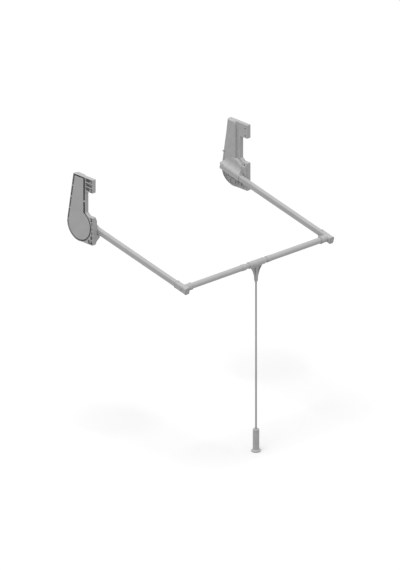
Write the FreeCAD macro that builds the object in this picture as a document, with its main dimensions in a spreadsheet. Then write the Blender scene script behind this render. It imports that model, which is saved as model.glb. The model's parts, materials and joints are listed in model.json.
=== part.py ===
import FreeCAD, Part
import math
import os
import re

import Sketcher

# Pull down closet rod.  Millimetres and degrees.
# The origin is on the left wall face, on the pivot axis of the arms.
# +X runs to the right housing, -Y to the front of the wardrobe, +Z up.

SIZES = [
    # overall
    ("wall_span", 890),            # left wall face to right wall face
    ("arm_length", 594),           # pivot axis to rail axis
    ("arm_dip", 11.9),             # arm below level, when lowered
    ("tee_shift", 3.4),            # tee bracket right of the middle
    ("rod_reach", 831),            # rail axis to the bottom of the grip
    # fits
    ("running_gap", 0.05),         # radial, between pieces that turn or slide
    ("fit_gap", 0.05),             # radial, between pieces that stay together
    ("side_gap", 0.5),             # between faces that pass each other
    ("cut_past", 1),               # how far a cut runs past the face it opens
    # housing shell
    ("dome_step", 11),             # from the dome's edge to the slab's
    ("slab_depth", 18),
    ("dome_depth", 26.5),
    ("rim_wall", 2),
    ("face_wall", 2.5),
    ("body_top", 219),
    ("spring_clearance", 4.2),     # from the gas spring to the rear top corner
    ("body_front", 36),
    ("dome_top", 219),
    ("dome_front", 16),
    ("dome_inset", 4),
    ("dome_edge", 4),
    ("dome_corner", 15),
    ("ear_margin", 13.5),          # from the line of the ear holes to the front edge
    ("upper_ear_low", 160),
    ("lower_ear_top", 51),
    ("lower_ear_low", 70.5),
    ("gusset", 9),
    ("ear_rib", 2),
    ("ear_hole_clearance", 6.97),  # from the slab's round edge to the ear holes
    ("ear_hole_top", 201),
    ("hole_pitch", 32),            # wardrobe sides are drilled every 32 mm
    ("ear_hole_radius", 2.7),
    ("ear_boss_radius", 5.2),
    ("ear_sink_radius", 4.6),
    ("ear_sink_depth", 2.2),
    ("ear_mark_half", 3.5),        # square recess between the upper screw holes
    ("ear_mark_depth", 1),
    ("dimple_reach", 53),          # blind hole beside the lower ear's upper screw hole
    ("dimple_up", 41),
    ("dimple_low", 1.5),           # blind hole between the lower ear's screw holes
    ("dimple_radius", 3),
    ("rest_step", 1),              # raised part of the lower ear, inside the ear's edge
    ("rest_near", 30),
    ("rest_top", 32),              # its slopes end here and rest_slope above its foot
    ("rest_slope", 13),
    ("rest_reach", 42),            # the ledge under the arm, from the wall
    ("ledge_near", 69),            # along the arm
    ("ledge_wall", 3),
    ("ledge_skirt", 45),           # lowest corner of the ledge's ribs
    ("peg_up", 74),                # small peg at the dome's rear edge
    ("peg_inset", 2.2),
    ("peg_radius", 4),
    ("peg_rise", 6),               # above the dome's face
    ("anchor_wall", 2.5),
    ("tab_count", 4),
    ("tab_low", 6),
    ("tab_pitch", 51.5),
    ("tab_width", 5),
    ("tab_depth", 6),
    # back plate
    ("plate_depth", 2),
    ("plate_gap", 6.2),            # open gap between plate and rim
    ("plate_front", 24),           # from the pivot line to the plate's front edge
    ("cup_radius", 13),
    ("cup_top", 7),
    # pivot
    ("pinion_module", 2.5),
    ("pinion_teeth", 16),
    ("tooth_top", 0.9),            # tooth height above the pitch line, in modules
    ("tooth_root", 1.15),
    ("pressure_angle", 20),
    ("pinion_low", 8.3),
    ("pinion_width", 9.6),
    ("backlash", 0.3),
    ("shaft_radius", 8),
    ("tail_radius", 6),            # thin end of the shaft, under the pinion
    ("tail_flat", 1),
    ("tail_low", 2.6),
    ("shaft_grip", 7),             # shaft past the middle of the arm
    ("bush_wall", 2),
    ("bush_flange", 1.5),
    ("flange_radius", 12.5),
    ("boss_wall", 4),
    ("clip_width", 0.9),
    ("clip_radius", 9),
    ("clip_groove", 0.6),
    # rack and gas spring
    ("rack_low", 12),              # rack below the pivot, arms lowered
    ("rack_spine", 7),             # rack behind its teeth
    ("rod_seat_wall", 0.3),        # rack in front of the piston rod's seat
    ("rack_clearance", 2.7),       # between the raised rack's corner and the dome
    ("head_gap", 2),               # between pinion and the rack's plain head
    ("guide_depth", 6),
    ("guide_half", 28),
    ("spring_radius", 9),
    ("spring_wall", 1.5),
    ("lowered_buffer", 8),
    ("spring_top", 194),
    ("gland", 10),
    ("eye_height", 203),
    ("eye_radius", 7),
    ("eye_width", 8),
    ("piston_rod_radius", 4),
    ("piston_depth", 8),
    ("piston_top", 184),
    ("rod_grip_depth", 9),
    ("anchor_radius", 3),
    ("swing", 101.9),              # lowered to upright
    ("stop_gap", 0.3),
    ("buffer_height", 6),
    ("buffer_half", 4.5),
    ("buffer_gap", 0.3),           # between a buffer and the rod through it
    # screw heads, in head radii
    ("head_rise", 0.5),
    ("head_flat", 0.65),           # radius of the flat top
    ("head_edge", 0.2),            # height of the straight edge
    ("cross_long", 0.6),
    ("cross_thin", 0.14),
    ("cross_deep", 0.35),
    # plate screws
    ("plate_screw_back", 44),
    ("plate_screw_up", 37),
    ("plate_screw_radius", 2),
    ("plate_head_radius", 3.8),
    ("plate_head_depth", 2.6),
    ("plate_boss_radius", 5.6),
    # arm tube
    ("arm_wide", 20),
    ("arm_high", 25),
    ("arm_round", 5),
    ("arm_wall", 1.5),
    ("sleeve_wall", 2),            # moulding around the arm tube, at its sides
    ("sleeve_top", 2.5),           # the same above and below the tube
    ("sleeve_round", 7),
    ("knuckle_rear", 33),          # knuckle behind the pivot, along the arm
    ("knuckle_front", 61.5),
    ("arm_tail", 51),              # tube end behind the pivot
    ("cap_depth", 3),
    ("cap_spigot", 10),
    # knuckle
    ("hub_radius", 58),
    ("hub_rim", 3.4),
    ("hub_floor", 1.4),            # the hub between its ribs
    ("saddle_height", 26),         # foot of the slope above the sleeve
    ("saddle_edge", 3),            # from the slope's crest to the sleeve's side
    ("hub_rib", 2.2),
    ("hub_rib_depth", 2),          # ribs above the hub's face
    ("hub_rib_drop", 31),          # from the arm's axis to the rib along it
    ("hub_rib_sweep", 150),
    ("access_gap", 1.2),           # around a plate screw's head, where the hub is notched
    ("block_half", 30),
    ("block_screw_reach", 20),
    ("block_screw_radius", 2.5),
    ("block_screw_head", 4.4),
    ("block_screw_length", 12),
    # elbow
    ("elbow_reach", 42),           # from the rail axis back along the arm
    ("elbow_nose", 21),            # from the rail axis forward
    ("elbow_cap_depth", 5),
    ("cap_rim", 3),                # outside the ring groove in the cap's face
    ("cap_groove", 2.2),
    ("cap_groove_depth", 2.4),
    ("socket_length", 42.5),
    ("socket_wall", 2.4),
    ("socket_bottom", 14),
    ("lip_width", 3),
    ("lip_height", 0.8),
    ("arm_nose", 14),              # arm tube past the rail axis
    ("plug_depth", 24),
    ("elbow_screw_radius", 2.5),
    ("elbow_screw_head", 4.5),
    ("elbow_screw_length", 12),
    ("set_screw_radius", 2),
    ("set_screw_sink", 0.5),
    ("socket_screw_reach", 30),    # arm axis to the screw under the socket
    # rail
    ("bar_radius", 12.7),
    ("bar_wall", 1.2),
    ("rail_clearance", 0.5),       # inside the outer tube, around the inner
    ("inner_wall", 1.2),
    ("tee_length", 86),
    ("rail_gap_left", 20),         # bare inner tube left of the tee
    ("rail_gap_right", 12),
    ("rail_overlap", 200),         # inner tube inside each outer tube
    ("collar_length", 20),
    ("collar_lip", 2.5),
    ("collar_wall", 0.9),
    ("glide_head", 8),
    ("glide_spigot", 12),
    # tee bracket
    ("tee_wall", 3.2),
    ("tee_drop", 80),
    ("web_half_top", 29.5),
    ("web_half_low", 5.5),
    ("web_curve", 84),
    ("web_depth", 12),
    ("web_core", 4),
    ("web_rib", 3),
    ("rod_socket_radius", 7),
    ("rod_socket_top", 26),
    ("groove_depth", 0.4),
    ("groove_width", 5.4),
    ("tee_screw_radius", 2.5),
    ("tee_screw_sink", 0.4),
    # pull rod and grip
    ("rod_radius", 4),
    ("grip_length", 98),
    ("grip_radius", 13.5),
    ("grip_flare", 21),
    ("flare_height", 10),
    ("flare_round", 7),             # concave arc from the grip down to its foot
    ("grip_wall", 2.5),
    ("grip_hub_length", 60),
    ("base_depth", 4),
    ("base_spigot", 8),
    ("base_edge", 1),
    ("grip_edge", 1.5),
    ("rod_pin_radius", 1.5),
    ("rod_pin_rise", 14),          # above the bottom of the tee's socket
    ("grip_screw_radius", 2),
    ("grip_screw_head", 3.8),
    ("grip_screw_sink", 2),
    ("grip_screw_hold", 11),
]

ALIASES = {alias for alias, number in SIZES}

doc = FreeCAD.newDocument("pull_down_closet_rod")
sheet = doc.addObject("Spreadsheet::Sheet", "sizes")
for row, (alias, number) in enumerate(SIZES, start=1):
    sheet.set(f"A{row}", alias)
    sheet.set(f"B{row}", str(number))
    sheet.setAlias(f"B{row}", alias)
doc.recompute()

X_AXIS = FreeCAD.Vector(1, 0, 0)


# ---------------------------------------------------------------- helpers

def bind(text):
    """Turn 'arm_wide / 2' into an expression that reads the sheet."""
    def cell(word):
        return "sizes." + word.group() if word.group() in ALIASES else word.group()
    return re.sub("[a-z_]+", cell, str(text))


def size(text):
    """The number that an expression gives now."""
    result = sheet.evalExpression(bind(text))
    return float(getattr(result, "Value", result))


def new_body(label):
    body = doc.addObject("PartDesign::Body", label)
    body.Label = label
    return body


def new_sketch(body, plane, offset="0"):
    """A sketch on a plane of the body, moved along the plane's normal."""
    support = [o for o in body.Origin.OriginFeatures if o.Role == plane + "_Plane"][0]
    sketch = body.newObject("Sketcher::SketchObject", body.Label + "_sketch")
    sketch.AttachmentSupport = [(support, "")]
    sketch.MapMode = "FlatFace"
    sketch.setExpression("AttachmentOffset.Base.z", bind(offset))
    return sketch


def hold(sketch, geometry, point, x, y):
    """Pin one point of a sketch to expressions for its two coordinates."""
    for kind, text in (("DistanceX", x), ("DistanceY", y)):
        rule = Sketcher.Constraint(kind, -1, 1, geometry, point, size(text))
        index = sketch.addConstraint(rule)
        sketch.setExpression(f"Constraints[{index}]", bind(text))


def circle(sketch, x, y, radius):
    centre = FreeCAD.Vector(size(x), size(y), 0)
    normal = FreeCAD.Vector(0, 0, 1)
    index = sketch.addGeometry(Part.Circle(centre, normal, size(radius)), False)
    hold(sketch, index, 3, x, y)
    rule = sketch.addConstraint(Sketcher.Constraint("Radius", index, size(radius)))
    sketch.setExpression(f"Constraints[{rule}]", bind(radius))


def bulge_arc(start, end, radius, side):
    """An arc between two points; side is +1 when its centre lies to the left
    of the way from start to end.  A sketch takes arcs anticlockwise, so the
    second value says whether the arc runs from end to start."""
    middle = (start + end) * 0.5
    chord = end - start
    across = FreeCAD.Vector(-chord.y, chord.x, 0).normalize() * side
    centre = middle + across * math.sqrt(radius ** 2 - (chord.Length / 2) ** 2)
    first, last = (start, end) if side > 0 else (end, start)
    low = math.atan2(first.y - centre.y, first.x - centre.x)
    high = math.atan2(last.y - centre.y, last.x - centre.x)
    if high < low:
        high += 2 * math.pi
    ring = Part.Circle(centre, FreeCAD.Vector(0, 0, 1), radius)
    return Part.ArcOfCircle(ring, low, high), side < 0


def outline(sketch, points):
    """A closed outline.  A point is (x, y), or (x, y, radius, side) when the
    edge from it to the next point is an arc."""
    places = [FreeCAD.Vector(size(p[0]), size(p[1]), 0) for p in points]
    edges = []
    ends = []
    for i, point in enumerate(points):
        start = places[i]
        end = places[(i + 1) % len(points)]
        edge = Part.LineSegment(start, end)
        flipped = False
        if len(point) == 4:
            edge, flipped = bulge_arc(start, end, size(point[2]), point[3])
        edges.append(sketch.addGeometry(edge, False))
        ends.append((2, 1) if flipped else (1, 2))
    for i, edge in enumerate(edges):
        following = (i + 1) % len(edges)
        sketch.addConstraint(Sketcher.Constraint(
            "Coincident", edge, ends[i][1], edges[following], ends[following][0]))
    for i, point in enumerate(points):
        hold(sketch, edges[i], ends[i][0], point[0], point[1])
        if len(point) == 4:
            rule = sketch.addConstraint(Sketcher.Constraint("Radius", edges[i], size(point[2])))
            sketch.setExpression(f"Constraints[{rule}]", bind(point[2]))


def box_outline(sketch, x0, y0, x1, y1):
    outline(sketch, [(x0, y0), (x1, y0), (x1, y1), (x0, y1)])


def rounded_box(sketch, middle, half_wide, half_high, corner):
    """A rectangle about (middle, 0) with round corners."""
    left = f"({middle} - {half_wide})"
    right = f"({middle} + {half_wide})"
    outline(sketch, [
        (f"{left} + {corner}", f"-{half_high}"),
        (f"{right} - {corner}", f"-{half_high}", corner, 1),
        (right, f"-{half_high} + {corner}"),
        (right, f"{half_high} - {corner}", corner, 1),
        (f"{right} - {corner}", half_high),
        (f"{left} + {corner}", half_high, corner, 1),
        (left, f"{half_high} - {corner}"),
        (left, f"-{half_high} + {corner}", corner, 1),
    ])


def pad(body, sketch, length, both_ways=False, reverse=False):
    feature = body.newObject("PartDesign::Pad", body.Label + "_pad")
    feature.Profile = sketch
    feature.Midplane = both_ways
    feature.Reversed = reverse
    feature.setExpression("Length", bind(length))
    doc.recompute()
    return feature


def pocket(body, sketch, length, both_ways=False, reverse=False):
    """Cut a sketch into the body, and stop if it takes nothing away."""
    before = body.Shape.Volume
    feature = body.newObject("PartDesign::Pocket", body.Label + "_pocket")
    feature.Profile = sketch
    feature.Midplane = both_ways
    feature.Reversed = reverse
    feature.setExpression("Length", bind(length))
    doc.recompute()
    if not body.Shape.Volume < before - 1e-3:
        raise RuntimeError("a pocket of " + body.Label + " cuts nothing")
    return feature


def revolve(body, sketch, axis, angle="360", both_ways=False):
    feature = body.newObject("PartDesign::Revolution", body.Label + "_turned")
    feature.Profile = sketch
    feature.ReferenceAxis = (sketch, [axis])
    feature.setExpression("Angle", bind(angle))
    feature.Midplane = both_ways
    doc.recompute()
    return feature


def groove(body, sketch, axis):
    before = body.Shape.Volume
    feature = body.newObject("PartDesign::Groove", body.Label + "_groove")
    feature.Profile = sketch
    feature.ReferenceAxis = (sketch, [axis])
    feature.Angle = 360
    doc.recompute()
    if not body.Shape.Volume < before - 1e-3:
        raise RuntimeError("a groove of " + body.Label + " cuts nothing")
    return feature


def round_edges(body, radius, wanted, kind="Fillet"):
    """Fillet or chamfer the edges of the body that pass the test."""
    base = body.Tip
    names = [f"Edge{i}" for i, edge in enumerate(base.Shape.Edges, start=1) if wanted(edge)]
    if not names:
        raise RuntimeError("no edge to round on " + body.Label)
    feature = body.newObject("PartDesign::" + kind, body.Label + "_round")
    feature.Base = (base, names)
    feature.setExpression("Radius" if kind == "Fillet" else "Size", bind(radius))
    doc.recompute()
    return feature


def runs_along(edge, axis):
    """True for a straight edge along the axis 'x', 'y' or 'z'."""
    if len(edge.Vertexes) != 2 or not isinstance(edge.Curve, Part.Line):
        return False
    span = edge.Vertexes[1].Point - edge.Vertexes[0].Point
    return abs(abs(getattr(span, axis)) - span.Length) < 1e-6


def near(a, b):
    return abs(a - b) < 1e-3


def turned(label, points, axis="H_Axis"):
    """A turned piece: H_Axis turns about X, V_Axis about Z."""
    body = new_body(label)
    sketch = new_sketch(body, "XZ")
    outline(sketch, points)
    revolve(body, sketch, axis)
    return body


def place(piece, x="0", y="0", z="0", tilt=None):
    """Put a piece somewhere, tilted about X by an expression in degrees."""
    piece.Placement = FreeCAD.Placement(
        FreeCAD.Vector(), FreeCAD.Rotation(X_AXIS, size(tilt) if tilt else 0))
    for axis, text in (("x", x), ("y", y), ("z", z)):
        piece.setExpression("Placement.Base." + axis, bind(text))
    if tilt:
        piece.setExpression("Placement.Rotation.Angle", bind(tilt))
    return piece


def group(label, pieces):
    """Several separate solids in one node."""
    node = doc.addObject("Part::Compound", label)
    node.Label = label
    node.Links = pieces
    doc.recompute()
    return node


LEFT = {}       # the pieces of the left side, which the right side mirrors
MIDDLE = {}     # the pieces in the middle


def keep_left(piece, name):
    LEFT[name] = piece
    return piece


def keep_middle(piece, name):
    MIDDLE[name] = piece
    return piece


# ---------------------------------------------------------------- places

BAR_Y = "-arm_length * cos(arm_dip)"
BAR_Z = "-arm_length * sin(arm_dip)"
HALF_SPAN = "(wall_span / 2)"
TEE_X = f"({HALF_SPAN} + tee_shift)"
TEE_LEFT = f"({TEE_X} - tee_length / 2)"
TEE_RIGHT = f"({TEE_X} + tee_length / 2)"
# Both outer tubes are as long, so each ends as far from the middle.
BAR_END = "(wall_span / 2 - tee_length / 2 - (rail_gap_left + rail_gap_right) / 2)"
INNER_END = f"({BAR_END} - rail_overlap)"
INNER_RADIUS = "(bar_radius - bar_wall - rail_clearance)"
SPRING_X = "(pinion_low + pinion_width / 2)"
PITCH_RADIUS = "(pinion_module * pinion_teeth / 2)"
TRAVEL = f"({PITCH_RADIUS} * swing * pi / 180)"
PINION_TIP = f"({PITCH_RADIUS} + tooth_top * pinion_module)"
RACK_TIP = f"({PITCH_RADIUS} - tooth_top * pinion_module)"
RACK_ROOT = f"({PITCH_RADIUS} + tooth_root * pinion_module)"
# With the arms up, the plain head of the rack is still clear of the pinion.
RACK_HEAD = f"({TRAVEL} + sqrt({PINION_TIP}^2 - {RACK_TIP}^2) + head_gap)"
RACK_TOP = f"({RACK_HEAD} + rod_grip_depth)"
RACK_BACK = f"({RACK_ROOT} + rack_spine)"
SPRING_LINE = f"({RACK_TIP} + piston_rod_radius + rod_seat_wall)"
SPRING_BOTTOM = f"({RACK_TOP} + stop_gap + lowered_buffer)"
# The housing is as large as the rack and the gas spring in it need.
DOME_RADIUS = f"(sqrt({RACK_BACK}^2 + (rack_low + {TRAVEL})^2) + rack_clearance + rim_wall)"
ROUND_RADIUS = f"({DOME_RADIUS} + dome_step)"
BODY_REAR = f"({SPRING_LINE} + spring_radius + spring_clearance)"
ARM_INSET = "(dome_depth + side_gap + sleeve_wall + arm_wide / 2)"
SHAFT_TOP = f"({ARM_INSET} + shaft_grip)"
PLATE_INSET = "(rim_wall + plate_gap)"
# The screw holes of the ears stand clear of the round part.
EAR_HOLE_REACH = f"(sqrt({ROUND_RADIUS}^2 - (ear_hole_top - 5 * hole_pitch)^2) + ear_hole_clearance)"
EAR_REACH = f"({EAR_HOLE_REACH} + ear_margin)"
EAR_HOLES = ["ear_hole_top", "ear_hole_top - hole_pitch", "ear_hole_top - 5 * hole_pitch",
             "ear_hole_top - 8 * hole_pitch"]
PLATE_SCREWS = [("plate_screw_back", "plate_screw_up"), ("-plate_screw_back", "-plate_screw_up")]
SLEEVE_HALF = "(arm_wide / 2 + sleeve_wall)"
SLEEVE_HIGH = "(arm_high / 2 + sleeve_top)"
ARM_BORE_HALF = "(arm_wide / 2 + fit_gap)"
ARM_BORE_HIGH = "(arm_high / 2 + fit_gap)"
BUSH_RADIUS = "(shaft_radius + running_gap + bush_wall)"
TAIL_BUSH_RADIUS = "(tail_radius + running_gap + bush_wall)"


def tapered(inset, top, front, rear, radius, corner=None):
    """The straight part of the housing's outline: a line from the round part
    to the rear top corner, the top, and an upright front edge."""
    y = f"({rear} - {inset})"
    z = f"({top} - {inset})"
    r = f"({radius} - {inset})"
    edge = f"-({front} - {inset})"
    angle = f"(atan({z} / {y}) - acos({r} / sqrt({y}^2 + {z}^2)))"
    points = [(f"{r} * cos{angle}", f"{r} * sin{angle}"), (y, z)]
    if corner:
        bend = f"({corner} - {inset})"
        points += [(f"{edge} + {bend}", z, bend, 1), (edge, f"{z} - {bend}")]
    else:
        points.append((edge, z))
    return points + [(edge, "0")]


# ---------------------------------------------------------------- housing

def housing_shell():
    shell = new_body("left_housing_shell")
    slab = tapered("0", "body_top", "body_front", BODY_REAR, ROUND_RADIUS)
    dome_rear = f"({BODY_REAR} - dome_inset)"
    dome = tapered("0", "dome_top", "dome_front", dome_rear, DOME_RADIUS, "dome_corner")

    # outside: slab, ears, raised dome
    for start, depth, radius, shape in (("0", "slab_depth", ROUND_RADIUS, slab),
                                        ("slab_depth", "dome_depth - slab_depth", DOME_RADIUS, dome)):
        sketch = new_sketch(shell, "YZ", start)
        circle(sketch, "0", "0", radius)
        pad(shell, sketch, depth)
        sketch = new_sketch(shell, "YZ", start)
        outline(sketch, shape)
        pad(shell, sketch, depth)
    round_edges(shell, "dome_edge", lambda e: near(e.BoundBox.XMin, size("dome_depth"))
                and near(e.BoundBox.XMax, size("dome_depth")))
    sketch = new_sketch(shell, "YZ")
    box_outline(sketch, f"-{EAR_REACH}", "upper_ear_low", "-body_front / 2", "body_top")
    pad(shell, sketch, "slab_depth")
    sketch = new_sketch(shell, "YZ")
    outline(sketch, [(f"-{EAR_REACH}", "-lower_ear_low"), (f"-{EAR_REACH}", "lower_ear_top"),
                     ("-body_front - gusset", "lower_ear_top"), ("-body_front", "lower_ear_top + gusset"),
                     ("0", "lower_ear_top + gusset"), ("0", "-lower_ear_low")])
    pad(shell, sketch, "slab_depth")
    round_edges(shell, "rim_wall", lambda e: runs_along(e, "x") and near(e.BoundBox.YMin, -size(EAR_REACH)))
    arm_rest(shell)
    peg = new_sketch(shell, "YZ", "slab_depth - face_wall / 2")
    circle(peg, f"{edge_at('peg_up', dome)} - peg_inset", "peg_up", "peg_radius")
    pad(shell, peg, "dome_depth + peg_rise - slab_depth + face_wall / 2")

    # inside: hollow from the wall side
    hollow_slab = tapered("rim_wall", "body_top", "body_front", BODY_REAR, ROUND_RADIUS)
    hollow_dome = tapered("rim_wall", "dome_top", "dome_front", dome_rear, DOME_RADIUS, "dome_corner")
    for depth, radius, shape in (("slab_depth - face_wall", f"{ROUND_RADIUS} - rim_wall", hollow_slab),
                                 ("dome_depth - face_wall", f"{DOME_RADIUS} - rim_wall", hollow_dome)):
        sketch = new_sketch(shell, "YZ")
        circle(sketch, "0", "0", radius)
        pocket(shell, sketch, depth, reverse=True)
        sketch = new_sketch(shell, "YZ")
        outline(sketch, shape)
        pocket(shell, sketch, depth, reverse=True)
    cells = new_sketch(shell, "YZ")
    ear_cells(cells)
    pocket(shell, cells, "slab_depth - face_wall", reverse=True)

    # bosses: ear screws, plate screws, shaft bush and spring anchor
    ears = new_sketch(shell, "YZ")
    for height in EAR_HOLES:
        circle(ears, f"-{EAR_HOLE_REACH}", height, "ear_boss_radius")
    pad(shell, ears, "slab_depth - face_wall / 2")
    posts = new_sketch(shell, "YZ", "plate_depth + fit_gap")
    for back, up in PLATE_SCREWS:
        circle(posts, back, up, "plate_boss_radius")
    pad(shell, posts, "dome_depth - face_wall / 2 - plate_depth - fit_gap")
    flange_top = "(pinion_low + pinion_width + side_gap + bush_flange + fit_gap)"
    bush = new_sketch(shell, "YZ", flange_top)
    circle(bush, "0", "0", f"{BUSH_RADIUS} + fit_gap + boss_wall")
    pad(shell, bush, f"dome_depth - face_wall / 2 - {flange_top}")
    anchor = new_sketch(shell, "YZ", f"{SPRING_X} + eye_width / 2 + fit_gap")
    circle(anchor, SPRING_LINE, "eye_height", "anchor_radius + anchor_wall")
    pad(shell, anchor, f"dome_depth - face_wall / 2 - {SPRING_X} - eye_width / 2 - fit_gap")

    # holes
    holes = new_sketch(shell, "YZ")
    for height in EAR_HOLES:
        circle(holes, f"-{EAR_HOLE_REACH}", height, "ear_hole_radius")
    for back, up in PLATE_SCREWS:
        circle(holes, back, up, "plate_screw_radius + fit_gap")
    circle(holes, "0", "0", f"{BUSH_RADIUS} + fit_gap")
    pocket(shell, holes, "dome_depth", reverse=True)
    sinks = new_sketch(shell, "YZ", "slab_depth - ear_sink_depth")
    for height in EAR_HOLES:
        circle(sinks, f"-{EAR_HOLE_REACH}", height, "ear_sink_radius")
    pocket(shell, sinks, "dome_depth - slab_depth + ear_sink_depth", reverse=True)
    sinks = new_sketch(shell, "YZ", "dome_depth - plate_head_depth - fit_gap")
    for back, up in PLATE_SCREWS:
        circle(sinks, back, up, "plate_head_radius + fit_gap")
    pocket(shell, sinks, "plate_head_depth + fit_gap", reverse=True)
    marks = new_sketch(shell, "YZ", "slab_depth - ear_mark_depth")
    middle = "(ear_hole_top - hole_pitch / 2)"
    box_outline(marks, f"-{EAR_HOLE_REACH} - ear_mark_half", f"{middle} - ear_mark_half",
                f"-{EAR_HOLE_REACH} + ear_mark_half", f"{middle} + ear_mark_half")
    circle(marks, "-dimple_reach", "dimple_up", "dimple_radius")
    circle(marks, f"-{EAR_HOLE_REACH}", "dimple_low", "dimple_radius")
    pocket(shell, marks, "dome_depth - slab_depth + ear_mark_depth", reverse=True)
    socket = new_sketch(shell, "YZ", SPRING_X)
    circle(socket, SPRING_LINE, "eye_height", "anchor_radius + fit_gap")
    pocket(shell, socket, f"dome_depth - face_wall - {SPRING_X}", reverse=True)

    # tabs that centre the back plate in its opening
    tabs = new_sketch(shell, "YZ")
    rim_tabs(tabs)
    pad(shell, tabs, "tab_depth")
    return keep_left(shell, "housing_shell")


def arm_rest(shell):
    """The lower ear is raised to the dome's face, with sloped ends.  A ledge
    on two ribs stands out from it, parallel to the lowered arm and under it."""
    front = f"({EAR_REACH} - rest_step)"
    low = "(-lower_ear_low + rest_step)"
    raised = new_sketch(shell, "XZ", "rest_near")
    outline(raised, [("slab_depth - face_wall / 2", low), ("slab_depth", low),
                     ("dome_depth", f"{low} + rest_slope"), ("dome_depth", "rest_top"),
                     ("slab_depth", "lower_ear_top - rest_step"),
                     ("slab_depth - face_wall / 2", "lower_ear_top - rest_step")])
    pad(shell, raised, f"{front} - rest_near")

    drop = "(arm_high / 2 + side_gap)"
    near_y = f"(-ledge_near * cos(arm_dip) + {drop} * sin(arm_dip))"
    near_z = f"(-ledge_near * sin(arm_dip) - {drop} * cos(arm_dip))"
    front_z = f"({near_z} - ({front} + {near_y}) * tan(arm_dip))"
    root = "(dome_depth - face_wall / 2)"
    ledge = new_sketch(shell, "YZ", root)
    outline(ledge, [(near_y, near_z), (near_y, f"{near_z} - ledge_wall"),
                    (f"-{front}", f"{front_z} - ledge_wall"), (f"-{front}", front_z)])
    pad(shell, ledge, f"rest_reach - {root}")
    for reach, top in ((f"{front} - ledge_wall", front_z),
                       (f"-{near_y}", f"({near_z} - ledge_wall * tan(arm_dip))")):
        rib = new_sketch(shell, "XZ", reach)
        outline(rib, [(root, f"{low} + rest_slope"), ("dome_depth", f"{low} + rest_slope"),
                      ("rest_reach", "-ledge_skirt"), ("rest_reach", f"{top} - ledge_wall / 2"),
                      (root, f"{top} - ledge_wall / 2")])
        pad(shell, rib, "ledge_wall")


def ear_cells(sketch):
    """Hollow cells in the ears, with level ribs between them."""
    upper = 3
    step = f"((body_top - upper_ear_low - 2 * rim_wall + ear_rib) / {upper})"
    for i in range(upper):
        low = f"(upper_ear_low + rim_wall + {i} * {step})"
        box_outline(sketch, f"-{EAR_REACH} + rim_wall", low, "-body_front - ear_rib / 2",
                    f"({low} + {step} - ear_rib)")
    lower = 6
    step = f"((lower_ear_top + lower_ear_low - 2 * rim_wall + ear_rib) / {lower})"
    for i in range(lower):
        low = f"(-lower_ear_low + rim_wall + {i} * {step})"
        high = f"({low} + {step} - ear_rib)"
        crossing = size(low) < 0 < size(high)
        closest = "0" if crossing else (low if size(low) > 0 else high)
        inner = f"-sqrt({ROUND_RADIUS}^2 - {closest}^2) - ear_rib / 2"
        if size(inner) - size(f"-{EAR_REACH} + rim_wall") > size("ear_rib"):
            box_outline(sketch, f"-{EAR_REACH} + rim_wall", low, inner, high)


def edge_at(height, shape):
    """Where the rear edge of a tapered outline lies at that height."""
    (low_y, low_z), (top_y, top_z) = shape[:2]
    return f"({low_y} + ({height} - {low_z}) * ({top_y} - {low_y}) / ({top_z} - {low_z}))"


def rear_edge(height, inset):
    return edge_at(height, tapered(inset, "body_top", "body_front", BODY_REAR, ROUND_RADIUS))


def rim_tabs(sketch):
    """Small tabs across the gap between the rim and the back plate."""
    for i in range(int(size("tab_count"))):
        low = f"(tab_low + {i} * tab_pitch)"
        high = f"({low} + tab_width)"
        box_outline(sketch, f"{rear_edge(low, PLATE_INSET)} + fit_gap", low,
                    f"{rear_edge(high, '0')} - rim_wall / 2", high)
    box_outline(sketch, "-body_front + rim_wall / 2", "tab_low + 2 * tab_pitch",
                "-plate_front - fit_gap", "tab_low + 2 * tab_pitch + tab_width")


def back_plate():
    plate = new_body("left_back_plate")
    sketch = new_sketch(plate, "YZ")
    circle(sketch, "0", "0", f"{ROUND_RADIUS} - {PLATE_INSET}")
    pad(plate, sketch, "plate_depth")
    sketch = new_sketch(plate, "YZ")
    outline(sketch, tapered(PLATE_INSET, "body_top", f"(plate_front + {PLATE_INSET})",
                            BODY_REAR, ROUND_RADIUS))
    pad(plate, sketch, "plate_depth")
    cup = new_sketch(plate, "YZ")
    circle(cup, "0", "0", "cup_radius")
    pad(plate, cup, "cup_top")
    seat = new_sketch(plate, "YZ", "plate_depth")
    circle(seat, "0", "0", f"{TAIL_BUSH_RADIUS} + fit_gap")
    pocket(plate, seat, "cup_top", reverse=True)
    holes = new_sketch(plate, "YZ", "plate_depth / 4")
    for back, up in PLATE_SCREWS:
        circle(holes, back, up, "plate_screw_radius + fit_gap")
    circle(holes, SPRING_LINE, "eye_height", "anchor_radius + fit_gap")
    pocket(plate, holes, "plate_depth", reverse=True)
    return keep_left(plate, "back_plate")


def bushes():
    """Two flanged bushes carry the pivot shaft."""
    low = "(pinion_low + pinion_width + side_gap)"
    bore = "shaft_radius + running_gap"
    front = turned("left_front_bush", [
        (low, bore), (low, "flange_radius"), (f"{low} + bush_flange", "flange_radius"),
        (f"{low} + bush_flange", BUSH_RADIUS), ("dome_depth", BUSH_RADIUS), ("dome_depth", bore)])
    keep_left(front, "front_bush")
    low = "(plate_depth + fit_gap)"
    bore = "tail_radius + running_gap"
    back = turned("left_back_bush", [
        (low, bore), (low, TAIL_BUSH_RADIUS), ("cup_top", TAIL_BUSH_RADIUS), ("cup_top", bore)])
    keep_left(back, "back_bush")


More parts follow.
